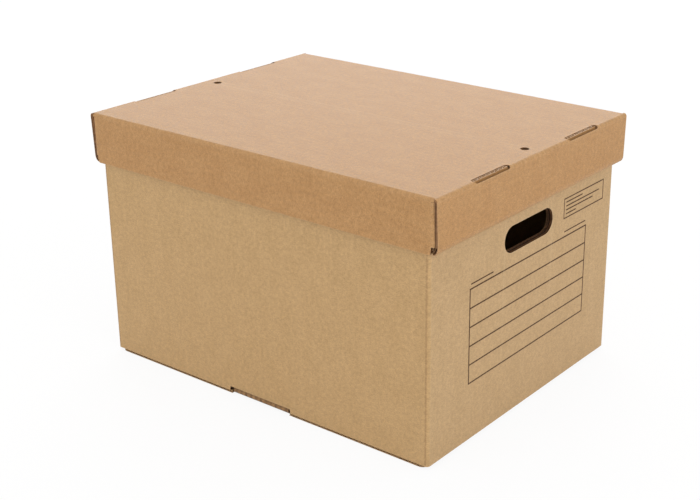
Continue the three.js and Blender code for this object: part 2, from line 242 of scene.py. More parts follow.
@dataclass(frozen=True)
class Section:
    """The run of the board in one plane, as matched points on its face and its back."""

    face: Array
    back: Array
    run: Array

    @property
    def end(self) -> float:
        """Where the run ends."""
        return float(self.run[-1])

    @classmethod
    def through(cls, face: Array, back: Array) -> "Section":
        """A section whose run is measured along the middle between face and back."""
        step = np.linalg.norm(np.diff((face + back) / 2, axis=0), axis=1)
        return cls(face, back, np.concatenate([[0.0], np.cumsum(step)]))

    @classmethod
    def folds(cls, corners: Sequence[Fold], end: tuple[Pair, Pair] | None = None) -> "Section":
        """A section through round folds, with straight board between them.

        Args:
            corners: each fold's centre, first angle and last angle.
            end: the face and back point at which straight board ends after the folds.

        Returns:
            The section.
        """
        sides = []
        for k, radius in enumerate((STOCK.fold_outside, STOCK.fold_inside)):
            last = [] if end is None else [np.array([end[k]])]
            sides.append(np.concatenate([*(arc(centre, radius, a, b) for centre, a, b in corners), *last]))
        return cls.through(*sides)

    def centred(self) -> "Section":
        """The same section, with its run counted from the middle."""
        return replace(self, run=self.run - self.run[-1] / 2)

    def carried(self, along_section: bool, plane: tuple[int, int], signs: Sequence[float] = (1, 1, 1),
                lift: float = 0.0) -> Place:
        """Places a panel that runs along the section in one plane and straight in the third direction.

        A point lies between face and back by the share of the caliper that its depth is.

        Args:
            along_section: whether the flutes follow the section, or lie square to it.
            plane: the two axes of the section's plane.
            signs: a sign for each axis, to make the mirror image.
            lift: height to add in the end.

        Returns:
            The placing function.
        """

        def place(a: Array, b: Array, w: Array) -> Array:
            """Points of the panel: its run is looked up, and the third direction is straight.

            Args:
                a: places across the flutes.
                b: places along them.
                w: places deep.

            Returns:
                The points.
            """
            run, straight = (b, a) if along_section else (a, b)
            points = np.empty((*a.shape, 3))
            for k, axis in enumerate(plane):
                near = np.interp(run, self.run, self.face[:, k])
                far = np.interp(run, self.run, self.back[:, k])
                points[..., axis] = near + (far - near) * (w / STOCK.caliper)
            points[..., 3 - sum(plane)] = straight
            return points * np.array(signs, float) + np.array([0, 0, lift])

        return place


def flat(origin: Direction, across: Direction, along: Direction, depth: Direction) -> Place:
    """Places a flat panel: its origin plus each coordinate times its direction.

    Args:
        origin: where the panel's coordinates are all 0.
        across: direction across the flutes.
        along: direction along the flutes.
        depth: direction from the face to the back.

    Returns:
        The placing function.
    """
    o, u, v, d = (np.array(x, float) for x in (origin, across, along, depth))
    return lambda a, b, w: o + a[..., None] * u + b[..., None] * v + w[..., None] * d


def end_at(end: End, columns: Array) -> Array:
    """One end of a band.

    Args:
        end: a function of the columns, a chain that is read by straight interpolation, or one place.
        columns: places across the flutes.

    Returns:
        The place of the end in each column.
    """
    if callable(end):
        return end(columns)
    if isinstance(end, np.ndarray):
        return np.interp(columns, end[:, 0], end[:, 1])
    return np.full_like(columns, end)


def between(low: End, high: End) -> Band:
    """A band between two ends, the high one never below the low one."""
    return lambda columns: (end_at(low, columns), np.maximum(end_at(low, columns), end_at(high, columns)))


@dataclass(frozen=True)
class Opening:
    """A round-ended opening, long across the flutes: its middle, half its straight run and its radius."""

    across: float
    along: float
    run: float
    radius: float

    def half(self, columns: Array) -> Array:
        """Half its width in each column: the circle's height past its run, and 0 outside."""
        past = np.maximum(np.abs(columns - self.across) - self.run, 0)
        return np.sqrt(np.maximum(self.radius**2 - past**2, 0))

    def low(self, columns: Array) -> Array:
        """Its low edge in each column."""
        return self.along - self.half(columns)

    def high(self, columns: Array) -> Array:
        """Its high edge in each column."""
        return self.along + self.half(columns)

    def columns(self) -> list[float]:
        """Columns that trace its round ends, closer where its outline is steep."""
        swing = self.radius * np.sin(np.linspace(0, np.pi / 2, ROUND_STEPS + 1))
        return [self.across + sign * (self.run + s) for sign in (-1, 1) for s in swing]

    def gap(self, across: Array, along: Array) -> Array:
        """Distance from its outline, less inside: the distance from its middle line, less its radius."""
        past = np.maximum(np.abs(across - self.across) - self.run, 0)
        return np.hypot(past, along - self.along) - self.radius


def around(low: End, high: End, *openings: Opening) -> list[Band]:
    """The bands that openings leave, which lie in line along the flutes.

    Args:
        low: low end of the board.
        high: its high end.
        openings: the openings from low to high.

    Returns:
        One band more than there are openings.
    """
    ends = [low, *(end for hole in openings for end in (hole.low, hole.high)), high]
    return [between(*ends[k:k + 2]) for k in range(0, len(ends), 2)]


@dataclass(frozen=True)
class Blank:
    """Where a panel lies on its flat blank: origin and direction across and along the flutes."""

    across: float = 0.0
    across_sign: float = 1.0
    along: float = 0.0
    along_sign: float = 1.0

    def at(self, across: Array, along: Array) -> Array:
        """Places on the blank, from places on the panel."""
        return np.stack([self.across + self.across_sign * across, self.along + self.along_sign * along], -1)


class MeshBuffer:
    """Triangles of one piece, gathered as arrays and put into a mesh at the end."""

    def __init__(self) -> None:
        """Starts with nothing in it."""
        self.parts: list[tuple[Array, ...]] = []
        self.count = 0

    def add(self, points: Array, blank: Array, wear_and_shading: Array, quads: Array, papers: Array,
            smooth: Array) -> None:
        """Adds quads as triangles, turned outwards by the sign of the volume that they close.

        Args:
            points: corner points in millimetres.
            blank: their places on the blank.
            wear_and_shading: their wearing and painted shading at cut edges and creases.
            quads: four corners to a row.
            papers: the paper of each quad.
            smooth: whether each quad is shaded smoothly.
        """
        triangles = np.concatenate([quads[:, [0, 1, 2]], quads[:, [0, 2, 3]]])
        a, b, c = (points[triangles[:, k]] for k in range(3))
        normal = np.cross(b - a, c - a)
        whole = np.linalg.norm(normal, axis=1) > TINY
        if np.einsum("ij,ij->", a - points[0], normal) < 0:
            triangles = triangles[:, ::-1]
        used, compact = np.unique(triangles[whole], return_inverse=True)
        self.parts.append((
            points[used] * MM, blank[used] * MM, wear_and_shading[used],
            compact.reshape(-1, 3) + self.count, np.tile(papers, 2)[whole], np.tile(smooth, 2)[whole],
        ))
        self.count += len(used)

    def mesh(self, name: str) -> bpy.types.Mesh:
        """The mesh in metres, with its blank map and its wearing and painted shading.

        Args:
            name: the mesh's name.

        Returns:
            The finished mesh.
        """
        points, blank, wear_and_shading, triangles, papers, smooth = (np.concatenate(part) for part in zip(*self.parts))
        triangles = triangles.astype(np.int32)
        data = bpy.data.meshes.new(name)
        data.vertices.add(len(points))
        data.vertices.foreach_set("co", points.astype(np.float32).ravel())
        data.loops.add(triangles.size)
        data.loops.foreach_set("vertex_index", triangles.ravel())
        data.polygons.add(len(triangles))
        data.polygons.foreach_set("loop_start", np.arange(len(triangles), dtype=np.int32) * 3)
        data.polygons.foreach_set("material_index", papers.astype(np.int32))
        data.polygons.foreach_set("use_smooth", smooth)
        layer = data.uv_layers.new(name=BLANK_MAP)
        layer.data.foreach_set("uv", blank[triangles.ravel()].astype(np.float32).ravel())
        for k, title in enumerate((CUT_WEAR_AND_SHADING, CREASE_WEAR_AND_SHADING)):
            attribute = data.attributes.new(title, "FLOAT", "POINT")
            attribute.data.foreach_set("value", wear_and_shading[:, k].astype(np.float32))
        data.update(calc_edges=True)
        return data


def band_cells(heights: Sequence[Array], rows: int) -> Array:
    """Which cells of a patch hold board, with an empty row of cells between two bands.

    Args:
        heights: the length of each band in each column.
        rows: number of rows in each band.

    Returns:
        True for the cells that are kept, by column and row.
    """
    kept = [np.maximum(height[:-1], height[1:]) > EPSILON / 2 for height in heights]
    cells = [np.pad(np.repeat(one[:, None], rows - 1, 1), ((0, 0), (0, 1))) for one in kept]
    return np.concatenate(cells, 1)[:, :-1]


def shell_quads(keep: Array) -> tuple[Array, Array]:
    """Quads of a sheet's surface, and the edges that bound it, as index pairs.

    A cell's quad runs round its four grid points. An edge with a kept cell on one side only bounds
    the sheet, and its points are given in the order that closes the sheet with an outward face.

    Args:
        keep: which cells are kept, by column and row.

    Returns:
        The quads, and the bounding edges.
    """
    n, m = keep.shape[0] + 1, keep.shape[1] + 1
    index = np.arange(n * m).reshape(n, m)
    corners = index[:-1, :-1], index[1:, :-1], index[1:, 1:], index[:-1, 1:]
    quads = np.stack([corner[keep] for corner in corners], 1)
    wide = np.pad(keep, 1)
    lines = ((wide[1:-1, 1:], wide[1:-1, :-1], index[1:], index[:-1]),
             (wide[1:, 1:-1], wide[:-1, 1:-1], index[:, :-1], index[:, 1:]))
    edges = []
    for one, other, start, end in lines:
        for bound, a, b in ((one & ~other, start, end), (other & ~one, end, start)):
            edges.append(np.stack([a[bound], b[bound]], 1))
    return quads, np.concatenate(edges)


OUTER_ROWS = np.array([0.0, 0.5, 1.5])  # distances of a band's outer rows from its end
OUTER_SHARES = np.array([0.0, 0.2, 0.4])  # and the share of the band that each takes at most


@dataclass
class Patch:
    """A stretch of board over columns across the flutes, each with bands along them.

    Attributes:
        chain_points: places across the flutes at which the outline turns.
        bands: functions from columns to the low and high end of each band.
        place: from places across, along and deep to points in millimetres.
        blank: where the patch lies on the flat blank.
        shares: rows of each band, as shares of its length.
        rims: how the patch ends at low, high, first column and last column.
        mitre: how far the low end moves along for each unit of depth, for each column.
        cut_low: for each column, how far the low end is a cut edge, where rims says crease.
        bend: for columns and rows, how far the board is bent there, which sets the crease's wearing and
            painted shading.
        openings: the openings whose outlines get wearing and painted shading.
    """

    chain_points: Sequence[float]
    bands: Sequence[Band]
    place: Place
    blank: Blank = Blank()
    shares: Sequence[float] = (0.0, 1.0)
    rims: tuple[Rim, Rim, Rim, Rim] = ALL_CUT
    mitre: Callable[[Array], Array] | None = None
    cut_low: Callable[[Array], Array] | None = None
    bend: Callable[[Array, Array], Array] | None = None
    openings: Sequence[Opening] = ()

    def columns(self) -> Array:
        """Columns on an even lattice of the flutes, with the outline's own points among them.

        Returns:
            Places across the flutes.
        """
        step = STOCK.pitch / STOCK.steps
        own = np.unique(np.round(np.asarray(self.chain_points, float), DECIMALS))
        reach = np.array([min(self.chain_points), max(self.chain_points)])
        ends = self.blank.across + self.blank.across_sign * reach
        lattice = np.arange(math.ceil(ends.min() / step), math.floor(ends.max() / step) + 1) * step
        lattice = (lattice - self.blank.across) * self.blank.across_sign
        far = np.abs(lattice[:, None] - own[None, :]).min(1) > step / LATTICE_PARTS
        return np.unique(np.concatenate([lattice[far], own]))

    def rows(self, low: Array, high: Array) -> Array:
        """Rows of one band: close together at both ends, and at the given shares between.

        Args:
            low: the band's low end in each column.
            high: its high end.

        Returns:
            Places along the flutes, a row of the array for each column.
        """
        near = np.minimum(OUTER_ROWS, (high - low)[:, None] * OUTER_SHARES)
        left, right = low[:, None] + near, high[:, None] - near[:, ::-1]
        start, end = left[:, -1:], right[:, :1]
        return np.concatenate([left, start + (end - start) * np.asarray(self.shares, float)[1:-1], right], 1)

    def wear_and_shading(self, across: Array, along: Array, low: Array, high: Array) -> Array:
        """How near each point is to a cut edge or to a crease, falling off as an exponential, which sets
        wearing and painted shading there.

        Args:
            across: places across the flutes.
            along: places along them.
            low: low end of the whole patch at each point.
            high: high end of the whole patch at each point.

        Returns:
            Wearing and painted shading of cut edges, from 0 to 1, and of creases, from -1 at the painted
            shade of a crease groove to 1.
        """
        distances = (along - low, high - along, across - across.min(), across.max() - across)
        cut, crease = np.zeros_like(along), np.zeros_like(along)
        for rim, distance in zip(self.rims, distances):
            if rim is Rim.CUT:
                cut = np.maximum(cut, fade(distance, CUT_REACH))
            if rim is Rim.CREASE:
                crease = np.maximum(crease, fade(distance, CREASE_REACH))
        if self.cut_low is not None:
            share = self.cut_low(across[:, 0])[:, None]
            cut = np.maximum(cut, share * fade(distances[0], CUT_REACH))
            crease = crease * (1 - share * fade(distances[0], SLOT_REACH))
        if self.bend is not None:
            bend = self.bend(across, along)
            crease = np.where(np.abs(bend) > crease, bend, crease)
        for opening in self.openings:
            cut = np.maximum(cut, fade(opening.gap(across, along), CUT_REACH))
        return np.stack([cut, crease], -1)

    def lean(self, along: Array, columns: Array, low: Array, high: Array) -> Array | float:
        """How far a mitred panel moves along with its depth: all at the low end, nothing at the high.

        Args:
            along: places along the flutes.
            columns: places across them.
            low: the first band's low end in each column.
            high: its high end.

        Returns:
            The move along for each unit of depth.
        """
        if self.mitre is None:
            return 0.0
        share = np.clip((high - along) / np.maximum(high - low, EPSILON), 0, 1)
        return self.mitre(columns)[:, None] * share

    def lay(self, buffer: MeshBuffer) -> None:
        """Adds the patch's three sheets.

        Each sheet is a near and a far surface over the same grid, closed by narrow faces along its
        bounding edges, which have points of their own so that they shade flat.

        Args:
            buffer: where the triangles go.
        """
        columns = self.columns()
        ends = [band(columns) for band in self.bands]
        grids = [self.rows(low, high) for low, high in ends]
        along = np.concatenate(grids, 1)
        across = np.broadcast_to(columns[:, None], along.shape)
        quads, edges = shell_quads(band_cells([high - low for low, high in ends], grids[0].shape[1]))
        low, first_end, high = ends[0][0][:, None], ends[0][1][:, None], ends[-1][1][:, None]
        wear_and_shading = self.wear_and_shading(across, along, low, high).reshape(-1, 2)
        blank = self.blank.at(across, along)
        lean = self.lean(along, columns, low, first_end)
        for near, far, near_paper, far_paper in STOCK.layers(blank[..., 0]):
            surfaces = np.concatenate([
                self.place(across, along + lean * depth, depth).reshape(-1, 3) for depth in (near, far)
            ])
            total = along.size
            rim = np.concatenate([edges, edges[:, ::-1] + total], 1).ravel()
            base = np.concatenate([np.arange(2 * total), rim]) % total
            rim_quads = np.arange(rim.size).reshape(-1, 4) + 2 * total
            counts = [len(quads), len(quads), len(rim_quads)]
            buffer.add(
                np.concatenate([surfaces, surfaces[rim]]), blank.reshape(-1, 2)[base], wear_and_shading[base],
                np.concatenate([quads, quads[:, ::-1] + total, rim_quads]),
                np.repeat([near_paper, far_paper, Paper.EDGE], counts),
                np.repeat([True, True, False], counts),
            )


@dataclass(frozen=True)
class Pattern:
    """Smooth noise whose range is carried to another.

    Attributes:
        scale: repeats to a metre, in all directions or in each.
        detail: the noise's octaves.
        rough: how strong the finer ones are.
        spread: the range that is carried, or nothing for the noise as it is.
        onto: where it is carried.
    """

    scale: float | tuple[float, float, float]
    detail: float = 3.0
    rough: float = 0.6
    spread: Pair | None = (0.3, 0.7)
    onto: Pair = (0.0, 1.0)


CLOUD = Pattern((64.0, 36.0, 1.0), 3.0, 0.5)
MOTTLE = Pattern(260.0)
SPECK = Pattern(1000.0, 9.0, 0.82)
FIBRE = Pattern((420.0, 1100.0, 1.0), spread=(0.32, 0.68))
FINE = Pattern(2600.0, 2.0, spread=None)
FLECK = Pattern((420.0, 900.0, 1.0), 1.0, 0.5, (0.66, 0.74))
FLUTE_BANDS = Pattern(18.0, 2.0, 0.5, (0.35, 0.65), (0.25, 1.0))
WEAR_BREAKS = Pattern(320.0, 4.0, 0.65, (0.35, 0.62), (0.35, 1.0))
INK_BREAKS = Pattern(420.0, spread=(0.3, 0.55), onto=(0.82, 1.0))


@dataclass
class Graph:
    """A node tree, with short ways to add nodes and join them."""

    tree: bpy.types.NodeTree

    @classmethod
    def of(cls, owner: bpy.types.Material | bpy.types.World) -> "Graph":
        """The emptied node tree of a material or of the world.

        Args:
            owner: the material or the world.

        Returns:
            The graph.
        """
        owner.use_nodes = True
        owner.node_tree.nodes.clear()
        return cls(owner.node_tree)

    def join(self, node: bpy.types.Node, inputs: Inputs) -> None:
        """Gives a node's inputs their values, or joins them to other nodes' sockets.

        Args:
            node: the node.
            inputs: a value or another node's socket for each input.
        """
        for key, value in inputs.items():
            if isinstance(value, Socket):
                self.tree.links.new(value, node.inputs[key])
            else:
                node.inputs[key].default_value = value

    def node(self, kind: str, inputs: Inputs | None = None, **settings: object) -> Outputs:
        """Adds a node.

        Args:
            kind: the node's type.
            inputs: a value or another node's socket for each input.
            settings: the node's own properties.

        Returns:
            The node's outputs.
        """
        node = self.tree.nodes.new(kind)
        for key, value in settings.items():
            setattr(node, key, value)
        self.join(node, inputs or {})
        return node.outputs

    def math(self, operation: str, a: object, b: object = 0.0, clamp: bool = False) -> Socket:
        """The result of a sum on one or two values."""
        return self.node("ShaderNodeMath", {0: a, 1: b}, operation=operation, use_clamp=clamp)[0]

    def product(self, first: object, *others: object) -> Socket:
        """All the values multiplied.

        Args:
            first: a value or a socket.
            others: more of them.

        Returns:
            The product.
        """
        for value in others:
            first = self.math("MULTIPLY", first, value)
        return first

    def total(self, *terms: tuple[object, float]) -> Socket:
        """The sum of values, each times its weight.

        Args:
            terms: a socket and its weight for each term.

        Returns:
            The sum.
        """
        made = self.product(*terms[0])
        for term in terms[1:]:
            made = self.math("ADD", made, self.product(*term))
        return made

    def mix(self, factor: object, a: object, b: object) -> Socket:
        """A mix of two colours."""
        return self.node("ShaderNodeMix", {0: factor, 6: a, 7: b}, data_type="RGBA")[2]

    def remap(self, value: object, spread: Pair, onto: Pair = (0.0, 1.0)) -> Socket:
        """A value carried smoothly from one range to another, and held at its ends.

        Args:
            value: the value or socket.
            spread: the range that it comes from.
            onto: the range that it is carried to.

        Returns:
            The carried value.
        """
        names = ("Value", "From Min", "From Max", "To Min", "To Max")
        inputs = dict(zip(names, (value, *spread, *onto)))
        return self.node("ShaderNodeMapRange", inputs, interpolation_type="SMOOTHSTEP")["Result"]

    def pattern(self, place: Socket, look: Pattern) -> Socket:
        """A pattern, stretched first if its scale differs by direction.

        Args:
            place: where it is looked up.
            look: the pattern.

        Returns:
            Its strength.
        """
        scale = look.scale
        if isinstance(scale, tuple):
            place, scale = self.node("ShaderNodeMapping", {"Vector": place, "Scale": scale})[0], 1.0
        inputs = {"Vector": place, "Scale": scale, "Detail": look.detail, "Roughness": look.rough}
        noise = self.node("ShaderNodeTexNoise", inputs)["Fac"]
        return noise if look.spread is None else self.remap(noise, look.spread, look.onto)

    def flute_turn(self, place: Socket) -> Socket:
        """A cosine of the place across the flutes, one turn to a flute."""
        across = self.node("ShaderNodeSeparateXYZ", {0: place})[0]
        return self.math("COSINE", self.product(across, 2 * math.pi / (STOCK.pitch * MM)))


COLOR, FLOAT, VECTOR = "NodeSocketColor", "NodeSocketFloat", "NodeSocketVector"
TONE_SHARES = (0.45, 0.55)  # of clouds and mottling in a paper's tone
SHADE_SHARES = (0.14, 0.2, 0.66)  # of mottling, fibres and specks in its lightness
RELIEF_SHARES = (0.5, 0.5)  # of fibres and finest grain in its relief
FLECK_STRENGTH = 0.35
PAPER_ROUGHNESS = (0.44, 0.54)
ROUGHNESS_SPREAD = (0.4, 1.6)  # of mottling and fibres together
COMB_SPREAD = (-0.5, 0.7)  # of the flutes' cosine, over which the teeth of a worn crease fade


def new_group(name: str, inputs: Kinds, outputs: Kinds) -> tuple[Graph, Outputs, bpy.types.Node]:
    """An empty node group with its sockets.

    Args:
        name: the group's name.
        inputs: kinds of the input sockets by name.
        outputs: kinds of the output sockets by name.

    Returns:
        The group's graph, the sockets of its input node, and its output node.
    """
    tree = bpy.data.node_groups.new(name, "ShaderNodeTree")
    for way, sockets in (("INPUT", inputs), ("OUTPUT", outputs)):
        for title, kind in sockets.items():
            tree.interface.new_socket(title, in_out=way, socket_type=kind)
    return Graph(tree), tree.nodes.new("NodeGroupInput").outputs, tree.nodes.new("NodeGroupOutput")


def kraft_group() -> bpy.types.NodeTree:
    """Kraft paper: clouds, mottling, fibres that lie across the flutes, flecks and faint flute lines.

    Returns:
        The group, whose height carries the fibres and the finest grain.
    """
    graph, into, out = new_group(
        "kraft_paper",
        {"Map": VECTOR, "Light": COLOR, "Dark": COLOR, "Fleck": COLOR, "Mottling": FLOAT, "Flutes": FLOAT},
        {"Color": COLOR, "Roughness": FLOAT, "Height": FLOAT},
    )
    place = into["Map"]
    cloud, mottle, speck, fibre, fine, fleck = (
        graph.pattern(place, look) for look in (CLOUD, MOTTLE, SPECK, FIBRE, FINE, FLECK)
    )
    turn = graph.flute_turn(place)
    flute = graph.product(turn, graph.pattern(place, FLUTE_BANDS), into["Flutes"])
    tone = graph.mix(graph.total(*zip((cloud, mottle), TONE_SHARES)), into["Dark"], into["Light"])
    spread = graph.total(*zip((mottle, fibre, speck), SHADE_SHARES))
    shade = graph.product(graph.math("SUBTRACT", spread, 0.5), into["Mottling"])
    shade = graph.math("ADD", graph.math("SUBTRACT", shade, flute), 1.0)
    lit = graph.node("ShaderNodeVectorMath", {0: tone, "Scale": shade}, operation="SCALE")[0]
    graph.join(out, {
        "Color": graph.mix(graph.product(fleck, FLECK_STRENGTH), lit, into["Fleck"]),
        "Height": graph.total(*zip((fibre, fine), RELIEF_SHARES)),
        "Roughness": graph.remap(graph.math("ADD", mottle, fibre), ROUGHNESS_SPREAD, PAPER_ROUGHNESS),
    })
    return graph.tree


def wear_and_shading_group() -> bpy.types.NodeTree:
    """Wear and painted shading: the paper changes where it is cut or creased, broken up by noise and, at
    creases, by flutes.

    The change is wearing with a painted highlight, and for finishes whose colour there is dark it is painted
    shade. A crease attribute below 0 darkens as painted shade of a crease groove.

    Returns:
        The group.
    """
    graph, into, out = new_group(
        "board_wear_and_shading",
        {"Map": VECTOR, "Color": COLOR, "Worn": COLOR, "DentShade": COLOR,
         "Cut": FLOAT, "Crease": FLOAT, "Comb": FLOAT},
        {"Color": COLOR},
    )
    broken = graph.pattern(into["Map"], WEAR_BREAKS)
    cut_wear_and_shading, crease_wear_and_shading = (
        graph.node("ShaderNodeAttribute", attribute_type="GEOMETRY", attribute_name=name)["Fac"]
        for name in (CUT_WEAR_AND_SHADING, CREASE_WEAR_AND_SHADING)
    )
    cut = graph.product(cut_wear_and_shading, into["Cut"])
    tick = graph.remap(graph.flute_turn(into["Map"]), COMB_SPREAD)
    teeth = graph.math("ADD", graph.product(graph.math("SUBTRACT", tick, 1.0), into["Comb"]), 1.0)
    crease = graph.product(crease_wear_and_shading, into["Crease"], teeth)
    mask = graph.math("MULTIPLY", graph.math("MAXIMUM", cut, crease), broken, clamp=True)
    # Painted shade of a crease groove: where the crease attribute is below 0 the colour darkens.
    dent_shade = graph.product(graph.math("MULTIPLY", crease_wear_and_shading, -1.0, clamp=True), broken)
    dent_shaded = graph.mix(dent_shade, into["Color"], into["DentShade"])
    # Cuts and creases take that colour: rubbed paper with a painted highlight, and painted shade for finishes
    # whose colour there is dark.
    graph.join(out, {"Color": graph.mix(mask, dent_shaded, into["Worn"])})
    return graph.tree


def bar_group() -> bpy.types.NodeTree:
    """One printed bar: 1 where both distances from its middle are below half its size.

    Returns:
        The group.
    """
    names = ("Y", "Z", "Middle Y", "Middle Z", "Half Y", "Half Z")
    graph, into, out = new_group("printed_bar", dict.fromkeys(names, FLOAT), {"Ink": FLOAT})
    blur = PRINT_BLUR * MM
    masks = []
    for axis in "YZ":
        distance = graph.math("ABSOLUTE", graph.math("SUBTRACT", into[axis], into[f"Middle {axis}"]))
        past = graph.math("SUBTRACT", distance, into[f"Half {axis}"])
        masks.append(graph.remap(past, (-blur, blur), (1.0, 0.0)))
    graph.join(out, {"Ink": graph.product(*masks)})
    return graph.tree


def ruled_box(box: Bar, line: float, rows: int) -> list[Bar]:
    """The bars of a box with ruled rows.

    Args:
        box: its low and high Y, and low and high Z.
        line: width of the lines.
        rows: number of rows.

    Returns:
        Middle Y, middle Z, half Y and half Z of each bar.
    """
    low_y, high_y, low_z, high_z = box
    half = line / 2
    level = [((low_y + high_y) / 2, float(z), (high_y - low_y) / 2 + half, half)
             for z in np.linspace(low_z, high_z, rows + 1)]
    return level + [(y, (low_z + high_z) / 2, half, (high_z - low_z) / 2 + half) for y in (low_y, high_y)]


@dataclass(frozen=True)
class RuledPrint:
    """The ruled table and label frame printed on the labelled end, in millimetres on the wall."""

    line: float = 1.5
    table: Bar = (-94.3, 105.0, 60.0, 152.0)
    rows: int = 5
    frame: Bar = (62.0, 136.3, 171.2, 190.9)
    frame_line: float = 1.25
    notes: tuple[Pair, ...] = ((65.5, 96.0), (65.5, 128.0), (65.5, 116.0), (65.5, 84.0))
    note_line: float = 1.3
    headings: tuple[tuple[float, float, float], ...] = ((-93.0, -58.0, 156.6), (64.0, 104.0, 157.2))

    def bars(self) -> list[Bar]:
        """Every printed bar.

        Returns:
            Middle Y, middle Z, half Y and half Z of each bar.
        """
        low, high = self.frame[2:]
        pitch = (high - low) / (len(self.notes) + 1)
        notes = [(*ends, high - pitch * (k + 1)) for k, ends in enumerate(self.notes)]
        half = self.note_line / 2
        plain = [((start + end) / 2, z, (end - start) / 2, half)
                 for start, end, z in (*notes, *self.headings)]
        return ruled_box(self.table, self.line, self.rows) + ruled_box(self.frame, self.frame_line, 1) + plain

    def mask(self, graph: Graph, bar: bpy.types.NodeTree) -> Socket:
        """The ink of all bars, uneven as printing on board is.

        Args:
            graph: the material's graph.
            bar: the shared group of one bar.

        Returns:
            The ink's strength.
        """
        place = graph.node("ShaderNodeTexCoord")["Object"]
        split = graph.node("ShaderNodeSeparateXYZ", {0: place})
        ink: Socket | float = 0.0
        for sizes in self.bars():
            values = dict(zip(("Middle Y", "Middle Z", "Half Y", "Half Z"), (size * MM for size in sizes)))
            one = graph.node("ShaderNodeGroup", {"Y": split[1], "Z": split[2], **values}, node_tree=bar)
            ink = graph.math("MAXIMUM", one["Ink"], ink)
        return graph.product(ink, graph.pattern(place, INK_BREAKS))


class Groups:
    """The node groups that several finishes share, each built once."""

    def __init__(self) -> None:
        """Builds them."""
        self.kraft, self.wear_and_shading, self.bar = kraft_group(), wear_and_shading_group(), bar_group()


def linear(shown: Shown) -> Rgba:
    """A colour as a shader takes it, by the standard curve of screens.

    Args:
        shown: the colour as it shows on a screen, each channel from 0 to 255.

    Returns:
        Its linear values, with full alpha.
    """
    share = np.array(shown) / 255
    values = np.where(share <= 0.04045, share / 12.92, ((share + 0.055) / 1.055) ** 2.4)
    return (*(float(value) for value in values), 1.0)


@dataclass(frozen=True)
class KraftFinish:
    """A kraft paper, as it shows on one side of a liner, on the fluted sheet or on a cut edge."""

    name: str
    light: Shown
    dark: Shown
    # Colour at cut edges and creases: rubbed paper with a painted highlight where it is light, and painted
    # shade where it is dark.
    worn: Shown
    fleck: Shown
    mottling: float = 0.65
    flutes: float = 0.012
    relief: float = 0.00006
    cut: float = 0.55
    crease: float = 0.25
    comb: float = 0.35
    specular: float = 0.22
    ink: Rgba = (0.05, 0.015, 0.001, 1.0)
    ruling: RuledPrint | None = None

    def material(self, groups: Groups) -> bpy.types.Material:
        """The finish as a material.

        Args:
            groups: the shared node groups.

        Returns:
            The material.
        """
        made = bpy.data.materials.new(f"{self.name}_kraft")
        graph = Graph.of(made)
        place = graph.node("ShaderNodeUVMap", uv_map=BLANK_MAP)["UV"]
        paper = graph.node("ShaderNodeGroup", {
            "Map": place, "Light": linear(self.light), "Dark": linear(self.dark),
            "Fleck": linear(self.fleck), "Mottling": self.mottling, "Flutes": self.flutes,
        }, node_tree=groups.kraft)
        color = paper["Color"]
        if self.ruling is not None:
            color = graph.mix(self.ruling.mask(graph, groups.bar), color, self.ink)
        # The fleck colour also gives the painted shade of crease grooves.
        worn = graph.node("ShaderNodeGroup", {
            "Map": place, "Color": color, "Worn": linear(self.worn), "DentShade": linear(self.fleck),
            "Cut": self.cut, "Crease": self.crease, "Comb": self.comb,
        }, node_tree=groups.wear_and_shading)
        bump = graph.node("ShaderNodeBump", {
            "Strength": 1.0, "Distance": self.relief, "Height": paper["Height"],
        })
        shader = graph.node("ShaderNodeBsdfPrincipled", {
            "Base Color": worn["Color"], "Roughness": paper["Roughness"],
            "Specular IOR Level": self.specular, "Normal": bump["Normal"],
        })
        graph.node("ShaderNodeOutputMaterial", {"Surface": shader[0]})
        return made


